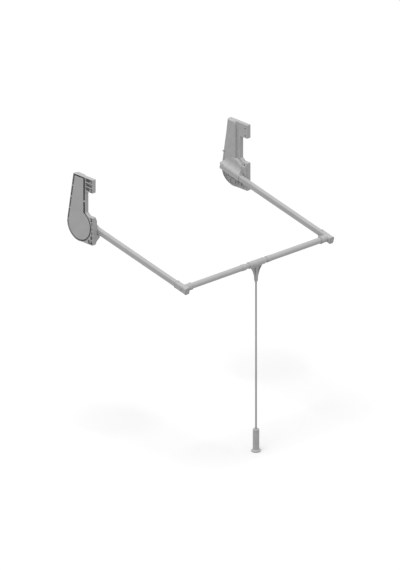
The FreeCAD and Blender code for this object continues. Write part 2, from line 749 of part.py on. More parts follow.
def plate_screws():
    screws = []
    for i, (back, up) in enumerate(PLATE_SCREWS, start=1):
        head = "(dome_depth - plate_head_depth)"
        screw = turned(f"left_plate_screw_{i}", [
            ("plate_depth / 4 + fit_gap", "0"), ("plate_depth / 4 + fit_gap", "plate_screw_radius"),
            (head, "plate_screw_radius"), (head, "plate_head_radius"), ("dome_depth", "plate_head_radius"),
            ("dome_depth", "0")])
        cross_recess(screw, "dome_depth", "plate_head_radius")
        screws.append(place(screw, y=back, z=up))
    keep_left(group("left_plate_screws", screws), "plate_screws")


def cross_recess(screw, top, head_radius):
    """A cross in a screw head that looks along +X."""
    for wide, high in (("cross_long", "cross_thin"), ("cross_thin", "cross_long")):
        sketch = new_sketch(screw, "YZ", top)
        box_outline(sketch, f"-{wide} * {head_radius}", f"-{high} * {head_radius}",
                    f"{wide} * {head_radius}", f"{high} * {head_radius}")
        pocket(screw, sketch, f"cross_deep * {head_radius}")


# ---------------------------------------------------------------- gas spring and rack

def gas_spring():
    wall = "(spring_radius - spring_wall)"
    cylinder = turned("left_gas_spring_cylinder", [
        ("piston_rod_radius + running_gap", SPRING_BOTTOM), ("spring_radius", SPRING_BOTTOM),
        ("spring_radius", "spring_top"), ("0", "spring_top"), ("0", "spring_top - spring_wall"),
        (wall, "spring_top - spring_wall"), (wall, f"{SPRING_BOTTOM} + gland"),
        ("piston_rod_radius + running_gap", f"{SPRING_BOTTOM} + gland")], "V_Axis")
    eye = new_sketch(cylinder, "YZ")
    circle(eye, "0", "eye_height", "eye_radius")
    pad(cylinder, eye, "eye_width", both_ways=True)
    neck = new_sketch(cylinder, "YZ")
    box_outline(neck, "-eye_radius", "spring_top - spring_wall / 2", "eye_radius", "eye_height")
    pad(cylinder, neck, "eye_width", both_ways=True)
    bore = new_sketch(cylinder, "YZ")
    circle(bore, "0", "eye_height", "anchor_radius + running_gap")
    pocket(cylinder, bore, "2 * spring_radius", both_ways=True)
    place(cylinder, x=SPRING_X, y=SPRING_LINE)
    keep_left(cylinder, "gas_spring_cylinder")

    piston = f"({wall} - running_gap)"
    rod_low = f"({RACK_HEAD} + fit_gap)"
    rod = turned("left_gas_spring_rod", [
        ("0", rod_low), ("piston_rod_radius", rod_low), ("piston_rod_radius", "piston_top - piston_depth"),
        (piston, "piston_top - piston_depth"), (piston, "piston_top"), ("0", "piston_top")], "V_Axis")
    place(rod, x=SPRING_X, y=SPRING_LINE)
    keep_left(rod, "gas_spring_rod")

    low = "(plate_depth / 4 + fit_gap)"
    high = "(dome_depth - face_wall - fit_gap)"
    pin = turned("left_spring_anchor_pin", [
        (low, "0"), (low, "anchor_radius"), (high, "anchor_radius"), (high, "0")])
    place(pin, y=SPRING_LINE, z="eye_height")
    keep_left(pin, "spring_anchor_pin")


def rack():
    """A rack behind the pinion.  It moves down as the arms rise."""
    bar = new_body("left_rack")
    sketch = new_sketch(bar, "YZ", "pinion_low")
    box_outline(sketch, RACK_TIP, "-rack_low", RACK_BACK, RACK_TOP)
    pad(bar, sketch, "pinion_width")
    pitch = "(pinion_module * pi)"
    past = f"({RACK_TIP} - cut_past)"
    at_pitch = f"({pitch} / 4 + backlash / 4)"
    wide = f"({at_pitch} + ({PITCH_RADIUS} - {past}) * tan(pressure_angle))"
    narrow = f"({at_pitch} - ({RACK_ROOT} - {PITCH_RADIUS}) * tan(pressure_angle))"
    lowest = math.ceil(size(f"-rack_low / {pitch}") - 0.5)
    highest = math.floor(size(f"({RACK_HEAD} - {wide}) / {pitch}"))
    gaps = new_sketch(bar, "YZ", "pinion_low")
    for i in range(lowest, highest + 1):
        middle = f"({i} * {pitch})"
        outline(gaps, [(past, f"{middle} - {wide}"), (RACK_ROOT, f"{middle} - {narrow}"),
                       (RACK_ROOT, f"{middle} + {narrow}"), (past, f"{middle} + {wide}")])
    pocket(bar, gaps, "pinion_width", reverse=True)
    hole = new_sketch(bar, "XY", RACK_HEAD)
    circle(hole, SPRING_X, SPRING_LINE, "piston_rod_radius + fit_gap")
    pocket(bar, hole, "rod_grip_depth", reverse=True)
    return keep_left(bar, "rack")


def rack_guide():
    """A slide block behind the rack, with a lip in front of it."""
    guide = new_body("left_rack_guide")
    back = f"({RACK_BACK} + running_gap)"
    sketch = new_sketch(guide, "XY", "-guide_half")
    lip = "(pinion_low + pinion_width + running_gap)"
    outline(sketch, [
        ("plate_depth", back), (lip, back), (lip, f"{back} - guide_depth"),
        (f"{lip} + face_wall", f"{back} - guide_depth"), (f"{lip} + face_wall", f"{back} + guide_depth"),
        ("plate_depth", f"{back} + guide_depth")])
    pad(guide, sketch, "2 * guide_half")
    return keep_left(guide, "rack_guide")


def stop_buffers():
    """Rubber stops: one under the gas spring, one below the rack."""
    low = f"({RACK_TOP} + stop_gap)"
    bore = "(piston_rod_radius + buffer_gap)"
    lowered = turned("left_lowered_stop_buffer", [
        (bore, low), ("spring_radius", low), ("spring_radius", SPRING_BOTTOM),
        (bore, SPRING_BOTTOM)], "V_Axis")
    place(lowered, x=SPRING_X, y=SPRING_LINE)
    keep_left(lowered, "lowered_stop_buffer")
    raised = new_body("left_raised_stop_buffer")
    top = f"(-rack_low - {TRAVEL} - stop_gap)"
    sketch = new_sketch(raised, "XY", f"{top} - buffer_height")
    box_outline(sketch, "plate_depth", f"{SPRING_LINE} - buffer_half", "slab_depth - face_wall - fit_gap",
                f"{SPRING_LINE} + buffer_half")
    pad(raised, sketch, "buffer_height")
    keep_left(raised, "raised_stop_buffer")


def pinion():
    """Involute teeth, so the flanks come from a formula."""
    gear = doc.addObject("Part::Feature", "left_pinion")
    teeth = int(size("pinion_teeth"))
    pitch = size(PITCH_RADIUS)
    module = size("pinion_module")
    pressure = math.radians(size("pressure_angle"))
    base = pitch * math.cos(pressure)
    tip = pitch + size("tooth_top") * module
    root = pitch - size("tooth_root") * module
    thick = math.pi / teeth / 2 - size("backlash") / 4 / pitch
    rolled = math.tan(pressure) - pressure

    def flank(radius):
        turn = math.acos(base / radius)
        return thick + rolled - (math.tan(turn) - turn)

    def point(radius, angle):
        return FreeCAD.Vector(0, radius * math.cos(angle), radius * math.sin(angle))

    middle = (base + tip) / 2
    foot = root - size("cut_past")
    foot_angle = flank(base)
    edges = [
        Part.LineSegment(point(foot, -foot_angle), point(base, -foot_angle)),
        Part.Arc(point(base, -foot_angle), point(middle, -flank(middle)), point(tip, -flank(tip))),
        Part.Arc(point(tip, -flank(tip)), point(tip, 0), point(tip, flank(tip))),
        Part.Arc(point(tip, flank(tip)), point(middle, flank(middle)), point(base, foot_angle)),
        Part.LineSegment(point(base, foot_angle), point(foot, foot_angle)),
        Part.LineSegment(point(foot, foot_angle), point(foot, -foot_angle)),
    ]
    profile = Part.Face(Part.Wire([edge.toShape() for edge in edges]))
    width = FreeCAD.Vector(size("pinion_width"), 0, 0)
    tooth = profile.extrude(width)
    blank = Part.makeCylinder(root, size("pinion_width"), FreeCAD.Vector(), X_AXIS)
    row = []
    for i in range(teeth):
        copy = tooth.copy()
        copy.rotate(FreeCAD.Vector(), X_AXIS, 360 / teeth * i)
        row.append(copy)
    solid = blank.multiFuse(row)
    bore_radius = size("tail_radius + fit_gap")
    bore = Part.makeCylinder(bore_radius, size("pinion_width"), FreeCAD.Vector(), X_AXIS)
    flat = size("tail_radius - tail_flat + fit_gap")
    above = Part.makeBox(size("pinion_width"), 2 * bore_radius, bore_radius,
                         FreeCAD.Vector(0, -bore_radius, flat))
    gear.Shape = solid.cut(bore.cut(above)).removeSplitter()
    gear.Label = "left_pinion"
    place(gear, x="pinion_low")
    return keep_left(gear, "pinion")


def pivot_shaft():
    shoulder = "(pinion_low + pinion_width)"
    shaft = turned("left_pivot_shaft", [
        ("tail_low", "0"), ("tail_low", "tail_radius"), (shoulder, "tail_radius"), (shoulder, "shaft_radius"),
        (SHAFT_TOP, "shaft_radius"), (SHAFT_TOP, "0")])
    clip_low = "(pinion_low - clip_width - fit_gap)"
    slot = new_sketch(shaft, "XZ")
    box_outline(slot, clip_low, "tail_radius - clip_groove", "pinion_low", "tail_radius + cut_past")
    groove(shaft, slot, "H_Axis")
    flat = new_sketch(shaft, "YZ", "pinion_low")
    box_outline(flat, "-tail_radius", "tail_radius - tail_flat", "tail_radius", "tail_radius + cut_past")
    pocket(shaft, flat, "pinion_width", reverse=True)
    keep_left(shaft, "pivot_shaft")

    clip = new_body("left_shaft_circlip")
    sketch = new_sketch(clip, "YZ", "pinion_low - clip_width - fit_gap / 2")
    circle(sketch, "0", "0", "clip_radius")
    circle(sketch, "0", "0", "tail_radius - clip_groove + fit_gap")
    pad(clip, sketch, "clip_width")
    mouth = new_sketch(clip, "YZ", "pinion_low - clip_width - fit_gap / 2")
    box_outline(mouth, "-tail_radius / 2", "0", "tail_radius / 2", "clip_radius + cut_past")
    pocket(clip, mouth, "clip_width", reverse=True)
    keep_left(clip, "shaft_circlip")


# ---------------------------------------------------------------- arm
# Pieces of the arm are drawn level and tilted down by arm_dip.  Sketches on
# the XZ plane are offset forward along the arm.

TUBE_BORE_WIDE = "(arm_wide / 2 - arm_wall)"
TUBE_BORE_HIGH = "(arm_high / 2 - arm_wall)"
TUBE_BORE_ROUND = "(arm_round - arm_wall)"


def arm_tube():
    tube = new_body("left_arm_tube")
    length = "arm_tail + arm_length + arm_nose"
    sketch = new_sketch(tube, "XZ", "-arm_tail")
    rounded_box(sketch, ARM_INSET, "(arm_wide / 2)", "(arm_high / 2)", "arm_round")
    pad(tube, sketch, length)
    sketch = new_sketch(tube, "XZ", "-arm_tail")
    rounded_box(sketch, ARM_INSET, TUBE_BORE_WIDE, TUBE_BORE_HIGH, TUBE_BORE_ROUND)
    pocket(tube, sketch, length, reverse=True)
    side = new_sketch(tube, "YZ", f"{ARM_INSET} - arm_wide / 2")
    circle(side, "0", "0", "shaft_radius + side_gap")
    circle(side, "-arm_length", "0", "elbow_screw_radius + fit_gap")
    pocket(tube, side, "arm_wall + cut_past", reverse=True)
    below = new_sketch(tube, "XY", "-arm_high / 2")
    for reach in ("block_screw_reach", "-block_screw_reach"):
        circle(below, ARM_INSET, reach, "block_screw_radius + fit_gap")
    pocket(tube, below, "arm_wall", reverse=True)
    above = new_sketch(tube, "XY", "arm_high / 2")
    circle(above, ARM_INSET, SET_SCREW_Y, "set_screw_radius + fit_gap")
    pocket(tube, above, "arm_wall")
    place(tube, tilt="arm_dip")
    keep_left(tube, "arm_tube")


def spigot(body, start, length, wide=TUBE_BORE_WIDE, high=TUBE_BORE_HIGH):
    """The part of a plug that fits inside the arm tube."""
    sketch = new_sketch(body, "XZ", start)
    rounded_box(sketch, ARM_INSET, f"({wide} - fit_gap)", f"({high} - fit_gap)", TUBE_BORE_ROUND)
    pad(body, sketch, length)


def arm_rear_cap():
    """A plug: a head as wide as the tube, and a spigot inside it."""
    cap = new_body("left_arm_rear_cap")
    sketch = new_sketch(cap, "XZ", "-arm_tail - cap_depth")
    rounded_box(sketch, ARM_INSET, "(arm_wide / 2)", "(arm_high / 2)", "arm_round")
    pad(cap, sketch, "cap_depth")
    back = size("arm_tail + cap_depth")
    round_edges(cap, "cap_depth / 2", lambda e: near(e.BoundBox.YMin, back) and near(e.BoundBox.YMax, back))
    spigot(cap, "-arm_tail", "cap_spigot")
    place(cap, tilt="arm_dip")
    keep_left(cap, "arm_rear_cap")


def arm_knuckle():
    """A sleeve around the arm tube on a round hub that turns on the housing.
    Above the arm the hub flares out to the sleeve; below, it has ribs.  Two
    notches in it clear the plate screws when the arm is lowered."""
    knuckle = new_body("left_arm_knuckle")
    base = "(dome_depth + side_gap)"
    outer = f"({ARM_INSET} + {SLEEVE_HALF})"
    sketch = new_sketch(knuckle, "XZ", "-knuckle_rear")
    box_outline(sketch, base, f"-{SLEEVE_HIGH}", outer, SLEEVE_HIGH)
    pad(knuckle, sketch, "knuckle_rear + knuckle_front")
    round_edges(knuckle, "sleeve_round",
                lambda e: runs_along(e, "y") and near(e.BoundBox.XMax, size(outer)))
    disc = new_sketch(knuckle, "YZ", base)
    circle(disc, "0", "0", "hub_radius")
    pad(knuckle, disc, "hub_floor")
    saddle(knuckle, base, outer)
    rim_top = f"({base} + hub_rim + hub_rib_depth)"
    rim = new_sketch(knuckle, "XZ")
    box_outline(rim, base, "-hub_radius", rim_top, "-hub_radius + hub_rib")
    revolve(knuckle, rim, "H_Axis", angle="hub_rib_sweep", both_ways=True)
    ribs = new_sketch(knuckle, "YZ", base)
    for across in ("-0.5", "0", "0.5"):
        middle = f"({across} * hub_radius)"
        box_outline(ribs, f"{middle} - hub_rib / 2", f"-hub_radius * sqrt(1 - ({across})^2) + hub_rib / 2",
                    f"{middle} + hub_rib / 2", f"-{SLEEVE_HIGH} / 2")
    pad(knuckle, ribs, "hub_rim + hub_rib_depth")
    along = new_sketch(knuckle, "YZ", base)
    half = "(sqrt(hub_radius^2 - hub_rib_drop^2) - hub_rib / 2)"
    box_outline(along, f"-{half}", "-hub_rib_drop - hub_rib / 2", half, "-hub_rib_drop + hub_rib / 2")
    pad(knuckle, along, "hub_rim + hub_rib_depth")
    access = new_sketch(knuckle, "YZ", base)
    for back, up in PLATE_SCREWS:
        circle(access, f"({back}) * cos(arm_dip) + ({up}) * sin(arm_dip)",
               f"({up}) * cos(arm_dip) - ({back}) * sin(arm_dip)", "plate_head_radius + access_gap")
    pocket(knuckle, access, f"{outer} - {base}", reverse=True)
    cavity = new_sketch(knuckle, "XZ", "-hub_radius")
    rounded_box(cavity, ARM_INSET, ARM_BORE_HALF, ARM_BORE_HIGH, "arm_round")
    pocket(knuckle, cavity, "hub_radius + knuckle_front", reverse=True)
    bore = new_sketch(knuckle, "YZ", base)
    circle(bore, "0", "0", "shaft_radius + fit_gap")
    pocket(knuckle, bore, f"{ARM_INSET} - {base}", reverse=True)
    below = new_sketch(knuckle, "XY", f"-{SLEEVE_HIGH}")
    for reach in ("block_screw_reach", "-block_screw_reach"):
        circle(below, ARM_INSET, reach, "block_screw_radius + fit_gap")
    pocket(knuckle, below, "sleeve_top * 2", reverse=True)
    place(knuckle, tilt="arm_dip")
    keep_left(knuckle, "arm_knuckle")


def saddle(knuckle, base, outer):
    """The hub's face above the arm, and the concave slope from it to the
    sleeve.  The slope leaves the face without an edge, which sets its radius."""
    crest = f"({outer} - saddle_edge)"
    wide = f"({crest} - {base} - hub_rim)"
    radius = f"(({wide}^2 + saddle_height^2) / (2 * {wide}))"
    slope = new_sketch(knuckle, "XZ")
    outline(slope, [(base, "0"), (base, "hub_radius"),
                    (f"{base} + hub_rim", "hub_radius"),
                    (f"{base} + hub_rim", f"{SLEEVE_HIGH} + saddle_height", radius, 1),
                    (crest, SLEEVE_HIGH), (crest, "0")])
    pad(knuckle, slope, "2 * hub_radius", both_ways=True)
    reach = f"sqrt(hub_radius^2 - {SLEEVE_HIGH}^2)"
    side = "(hub_radius + cut_past)"
    trim = new_sketch(knuckle, "YZ", base)
    outline(trim, [(reach, SLEEVE_HIGH, "hub_radius", 1), (f"-{reach}", SLEEVE_HIGH),
                   (f"-{side}", SLEEVE_HIGH), (f"-{side}", side), (side, side), (side, SLEEVE_HIGH)])
    pocket(knuckle, trim, f"{outer} - {base}", reverse=True)


def shaft_block():
    """The block in the arm tube that the shaft is pressed into."""
    block = new_body("left_shaft_block")
    spigot(block, "-block_half", "2 * block_half")
    bore = new_sketch(block, "YZ", f"{ARM_INSET} - arm_wide / 2")
    circle(bore, "0", "0", "shaft_radius + fit_gap")
    pocket(block, bore, f"{SHAFT_TOP} + fit_gap - {ARM_INSET} + arm_wide / 2", reverse=True)
    holes = new_sketch(block, "XY", "-arm_high / 2")
    for reach in ("block_screw_reach", "-block_screw_reach"):
        circle(holes, ARM_INSET, reach, "block_screw_radius + fit_gap")
    pocket(block, holes, "block_screw_length - sleeve_top + fit_gap", reverse=True)
    place(block, tilt="arm_dip")
    keep_left(block, "shaft_block")

    screws = []
    for i, reach in enumerate(("block_screw_reach", "-block_screw_reach"), start=1):
        screw = button_screw(f"left_knuckle_screw_{i}", "block_screw_radius", "block_screw_head",
                             "block_screw_length", f"-{SLEEVE_HIGH}")
        place(screw, x=ARM_INSET, y=f"{reach} * cos(arm_dip)", z=f"{reach} * sin(arm_dip)",
              tilt="arm_dip")
        screws.append(screw)
    keep_left(group("left_knuckle_screws", screws), "knuckle_screws")


def button_screw(label, radius, head, length, face, axis="V_Axis"):
    """A screw with a round head on a face.  It points up, or to +X."""
    top = f"({face} - head_rise * {head})"
    tip = f"({face} + {length})"
    points = [(top, "0"), (top, f"head_flat * {head}"), (f"{face} - head_edge * {head}", head),
              (face, head), (face, radius), (tip, radius), (tip, "0")]
    if axis == "V_Axis":
        points = [(across, along) for along, across in points]
    return turned(label, points, axis)


def set_screw(label, low, high):
    radius = "set_screw_radius"
    return turned(label, [("0", low), (radius, low), (radius, high), ("0", high)], "V_Axis")


# ---------------------------------------------------------------- elbow
# Pieces of the elbow are drawn about the rail axis and tilted like the arm.

SOCKET_RADIUS = "(bar_radius + fit_gap + socket_wall)"
SOCKET_END = f"({ARM_INSET} + socket_length)"
SET_SCREW_BACK = "(elbow_reach - 3 * lip_width)"
SET_SCREW_Y = f"-arm_length + {SET_SCREW_BACK}"


def at_corner(piece):
    return place(piece, y=BAR_Y, z=BAR_Z, tilt="arm_dip")


def elbow():
    corner = new_body("left_elbow")
    sketch = new_sketch(corner, "XZ", "-elbow_reach")
    rounded_box(sketch, ARM_INSET, SLEEVE_HALF, SLEEVE_HIGH, "sleeve_round")
    pad(corner, sketch, "elbow_reach + elbow_nose")
    lip = new_sketch(corner, "XZ", "-elbow_reach")
    rounded_box(lip, ARM_INSET, f"({SLEEVE_HALF} + lip_height)", f"({SLEEVE_HIGH} + lip_height)",
                "(sleeve_round + lip_height)")
    pad(corner, lip, "lip_width")
    socket = new_sketch(corner, "YZ", ARM_INSET)
    circle(socket, "0", "0", SOCKET_RADIUS)
    pad(corner, socket, "socket_length")
    ring = new_sketch(corner, "YZ", f"{SOCKET_END} - lip_width")
    circle(ring, "0", "0", f"{SOCKET_RADIUS} + lip_height")
    pad(corner, ring, "lip_width")
    cavity = new_sketch(corner, "XZ", "-elbow_reach")
    rounded_box(cavity, ARM_INSET, ARM_BORE_HALF, ARM_BORE_HIGH, "arm_round")
    pocket(corner, cavity, "elbow_reach + elbow_nose", reverse=True)
    bore = new_sketch(corner, "YZ", f"{ARM_INSET} + socket_bottom")
    circle(bore, "0", "0", "bar_radius + fit_gap")
    pocket(corner, bore, "socket_length", reverse=True)
    side = new_sketch(corner, "YZ", f"{ARM_INSET} - {SLEEVE_HALF}")
    circle(side, "0", "0", "elbow_screw_radius + fit_gap")
    pocket(corner, side, "2 * sleeve_wall", reverse=True)
    above = new_sketch(corner, "XY", SLEEVE_HIGH)
    circle(above, ARM_INSET, SET_SCREW_BACK, "set_screw_radius + fit_gap")
    pocket(corner, above, "1.5 * sleeve_top")
    below = new_sketch(corner, "XY", f"-{SOCKET_RADIUS}")
    circle(below, f"{ARM_INSET} + socket_screw_reach", "0", "set_screw_radius + fit_gap")
    pocket(corner, below, "2 * socket_wall", reverse=True)
    keep_left(at_corner(corner), "elbow")


def elbow_cap():
    """The end cap, with a plug that the side screw holds in the tube."""
    cap = new_body("left_elbow_cap")
    sketch = new_sketch(cap, "XZ", "elbow_nose")
    rounded_box(sketch, ARM_INSET, f"({SLEEVE_HALF} + lip_height)", f"({SLEEVE_HIGH} + lip_height)",
                "(sleeve_round + lip_height)")
    pad(cap, sketch, "elbow_cap_depth")
    front = -size("elbow_nose + elbow_cap_depth")
    round_edges(cap, "elbow_cap_depth / 2",
                lambda e: near(e.BoundBox.YMin, front) and near(e.BoundBox.YMax, front))
    ring = new_sketch(cap, "XZ", "elbow_nose + elbow_cap_depth")
    for inset in ("cap_rim", "(cap_rim + cap_groove)"):
        rounded_box(ring, ARM_INSET, f"({SLEEVE_HALF} + lip_height - {inset})",
                    f"({SLEEVE_HIGH} + lip_height - {inset})", f"(sleeve_round + lip_height - {inset})")
    pocket(cap, ring, "cap_groove_depth")
    inside = new_sketch(cap, "XZ", "arm_nose")
    rounded_box(inside, ARM_INSET, "(arm_wide / 2)", "(arm_high / 2)", "arm_round")
    pad(cap, inside, "elbow_nose - arm_nose")
    spigot(cap, "arm_nose - plug_depth", "plug_depth")
    side = new_sketch(cap, "YZ", f"{ARM_INSET} - arm_wide / 2")
    circle(side, "0", "0", "elbow_screw_radius + fit_gap")
    pocket(cap, side, "elbow_screw_length + fit_gap - sleeve_wall", reverse=True)
    keep_left(at_corner(cap), "elbow_cap")


def elbow_screws():
    """One screw from outside into the cap, one set screw on the arm and one
    under the rail socket."""
    side = button_screw("left_elbow_side_screw", "elbow_screw_radius", "elbow_screw_head",
                        "elbow_screw_length", f"({ARM_INSET} - {SLEEVE_HALF})", "H_Axis")
    top = set_screw("left_elbow_set_screw", "arm_high / 2 - arm_wall", f"{SLEEVE_HIGH} - set_screw_sink")
    low = f"-{SOCKET_RADIUS} + set_screw_sink"
    bottom = set_screw("left_socket_set_screw", low, "-bar_radius + bar_wall")
    at_corner(side)
    place(top, x=ARM_INSET, y=f"{BAR_Y} + {SET_SCREW_BACK} * cos(arm_dip)",
          z=f"{BAR_Z} + {SET_SCREW_BACK} * sin(arm_dip)", tilt="arm_dip")
    place(bottom, x=f"{ARM_INSET} + socket_screw_reach", y=BAR_Y, z=BAR_Z, tilt="arm_dip")
    keep_left(group("left_elbow_screws", [side, top, bottom]), "elbow_screws")


# ---------------------------------------------------------------- rail

def outer_ring(radius):
    """A test for the round edges of that radius about the X axis."""
    return lambda e: near(e.BoundBox.ZMax, size(radius)) and near(e.BoundBox.XLength, 0)


def ring_section(low, high, inner, outer):
    return [(low, inner), (low, outer), (high, outer), (high, inner)]


def bar_tube():
    """The outer tube, from the bottom of the socket to the collar's lip."""
    low = f"({ARM_INSET} + socket_bottom)"
    high = f"({BAR_END} - collar_lip)"
    tube = turned("left_bar_tube", ring_section(low, high, "bar_radius - bar_wall", "bar_radius"))
    hole = new_sketch(tube, "XY", "-bar_radius")
    circle(hole, f"{ARM_INSET} + socket_screw_reach", "0", "set_screw_radius + fit_gap")
    pocket(tube, hole, "1.5 * bar_wall", reverse=True)
    keep_left(at_corner(tube), "bar_tube")


def bar_collar():
    """A guide collar: it sits on the outer tube and its lip guides the inner."""
    outer = "(bar_radius + fit_gap + collar_wall)"
    lip = f"({BAR_END} - collar_lip)"
    collar = turned("left_bar_collar", [
        (f"{BAR_END} - collar_length", "bar_radius + fit_gap"), (f"{BAR_END} - collar_length", outer),
        (BAR_END, outer), (BAR_END, f"{INNER_RADIUS} + running_gap"), (lip, f"{INNER_RADIUS} + running_gap"),
        (lip, "bar_radius + fit_gap")])
    round_edges(collar, "collar_wall / 2", outer_ring(outer))
    keep_left(place(collar, y=BAR_Y, z=BAR_Z), "bar_collar")


def inner_tube():
    """The inner tube, with a rolled groove that keeps the tee in place."""
    far_end = f"(wall_span - {INNER_END})"
    bore = f"({INNER_RADIUS} - inner_wall)"
    tube = turned("inner_tube", ring_section(INNER_END, far_end, bore, INNER_RADIUS))
    slot = new_sketch(tube, "XZ")
    box_outline(slot, f"{TEE_X} - groove_width / 2", f"{INNER_RADIUS} - groove_depth",
                f"{TEE_X} + groove_width / 2", f"{INNER_RADIUS} + cut_past")
    groove(tube, slot, "H_Axis")
    keep_middle(place(tube, y=BAR_Y, z=BAR_Z), "inner_tube")

    slide = "(bar_radius - bar_wall - running_gap)"
    glides = []
    for label, end, turn in (("left_glide", INNER_END, 1), ("right_glide", far_end, -1)):
        head = f"({end} - {turn} * glide_head)"
        tip = f"({end} + {turn} * glide_spigot)"
        glide = turned(label, [
            (head, "0"), (head, slide), (end, slide),
            (end, f"{bore} - fit_gap"), (tip, f"{bore} - fit_gap"), (tip, "0")])
        glides.append(place(glide, y=BAR_Y, z=BAR_Z))
    keep_middle(group("tube_glides", glides), "tube_glides")


# ---------------------------------------------------------------- tee, pull rod and grip

def at_tee(piece):
    return place(piece, x=TEE_X, y=BAR_Y, z=BAR_Z)


def tee_bracket():
    """A sleeve that turns on the inner tube, and a ribbed web below it that
    narrows to the socket of the pull rod."""
    outer = f"({INNER_RADIUS} + running_gap + tee_wall)"
    sleeve = ring_section("-tee_length / 2", "tee_length / 2", f"{INNER_RADIUS} / 2", outer)
    tee = turned("tee_bracket", sleeve)
    round_edges(tee, "tee_wall / 3", outer_ring(outer))
    top = f"-{INNER_RADIUS}"
    low = "(-tee_drop + web_half_low)"
    web = new_sketch(tee, "XZ")
    outline(web, [("-web_half_top", top), ("-web_half_top", f"-{outer}", "web_curve", -1),
                  ("-web_half_low", low), ("web_half_low", low, "web_curve", -1),
                  ("web_half_top", f"-{outer}"), ("web_half_top", top)])
    pad(tee, web, "web_depth", both_ways=True)
    for face, reverse in (("web_depth / 2", False), ("-web_depth / 2", True)):
        pockets = new_sketch(tee, "XZ", face)
        for sign, side in (("-", 1), ("", -1)):
            web_pocket(pockets, sign, side, f"(-{outer} - web_rib)")
        pocket(tee, pockets, "(web_depth - web_core) / 2", reverse=reverse)
    socket = new_sketch(tee, "XY", "-tee_drop")
    circle(socket, "0", "0", "rod_socket_radius")
    pad(tee, socket, f"tee_drop - {INNER_RADIUS}")
    end = size("-tee_drop")
    round_edges(tee, "web_rib / 3", lambda e: near(e.BoundBox.ZMax, end) and near(e.BoundBox.ZMin, end))
    bore = new_sketch(tee, "XY", "-tee_drop")
    circle(bore, "0", "0", "rod_radius + fit_gap")
    pocket(tee, bore, "tee_drop - rod_socket_top", reverse=True)
    rail = new_sketch(tee, "YZ", "-tee_length / 2")
    circle(rail, "0", "0", f"{INNER_RADIUS} + running_gap")
    pocket(tee, rail, "tee_length", reverse=True)
    pin = new_sketch(tee, "XZ")
    circle(pin, "0", ROD_PIN_Z, "rod_pin_radius + fit_gap")
    pocket(tee, pin, "2 * rod_socket_radius + cut_past", both_ways=True)
    screw = new_sketch(tee, "XZ")
    circle(screw, "0", "0", "tee_screw_radius + fit_gap")
    pocket(tee, screw, "bar_radius * 2")
    keep_middle(at_tee(tee), "tee_bracket")


ROD_PIN_Z = "(-tee_drop + rod_pin_rise)"


def web_pocket(sketch, sign, side, top):
    """One hollow of the web, between its edge rib and the rod socket."""
    inner = f"{sign}(rod_socket_radius - web_rib / 6)"
    outer = f"{sign}(rod_socket_radius + web_rib / 6)"
    low = "(-tee_drop + web_half_low + 4 * web_rib)"
    outline(sketch, [(inner, top), (inner, low), (outer, low, "web_curve * 0.75", side),
                     (f"{sign}(web_half_top - 2 * web_rib)", top)])


def tee_set_screw():
    """Its point runs in the groove of the inner tube."""
    screw = new_body("tee_set_screw")
    outer_end = f"-{INNER_RADIUS} - running_gap - tee_wall + tee_screw_sink"
    sketch = new_sketch(screw, "XZ", outer_end)
    circle(sketch, "0", "0", "tee_screw_radius")
    pad(screw, sketch, "tee_wall + groove_depth - tee_screw_sink - running_gap")
    drive = new_sketch(screw, "XZ", outer_end)
    circle(drive, "0", "0", "tee_screw_radius / 2")
    pocket(screw, drive, "tee_wall / 3", reverse=True)
    keep_middle(at_tee(screw), "tee_set_screw")


def pull_rod():
    rod = turned("pull_rod", [
        ("0", ROD_LOW), ("rod_radius", ROD_LOW), ("rod_radius", "-rod_socket_top - fit_gap"),
        ("0", "-rod_socket_top - fit_gap")], "V_Axis")
    pin_hole = new_sketch(rod, "XZ")
    circle(pin_hole, "0", ROD_PIN_Z, "rod_pin_radius + fit_gap")
    pocket(rod, pin_hole, "3 * rod_radius", both_ways=True)
    screw_hole = new_sketch(rod, "XY", ROD_LOW)
    circle(screw_hole, "0", "0", "grip_screw_radius + fit_gap")
    pocket(rod, screw_hole, "grip_screw_hold + grip_screw_radius", reverse=True)
    keep_middle(at_tee(rod), "pull_rod")
    pin = new_body("rod_pin")
    sketch = new_sketch(pin, "XZ")
    circle(sketch, "0", ROD_PIN_Z, "rod_pin_radius")
    pad(pin, sketch, "2 * rod_socket_radius", both_ways=True)
    keep_middle(at_tee(pin), "rod_pin")


ROD_LOW = "(-rod_reach + base_depth + base_spigot + fit_gap)"
GRIP_TOP = "(-rod_reach + grip_length)"


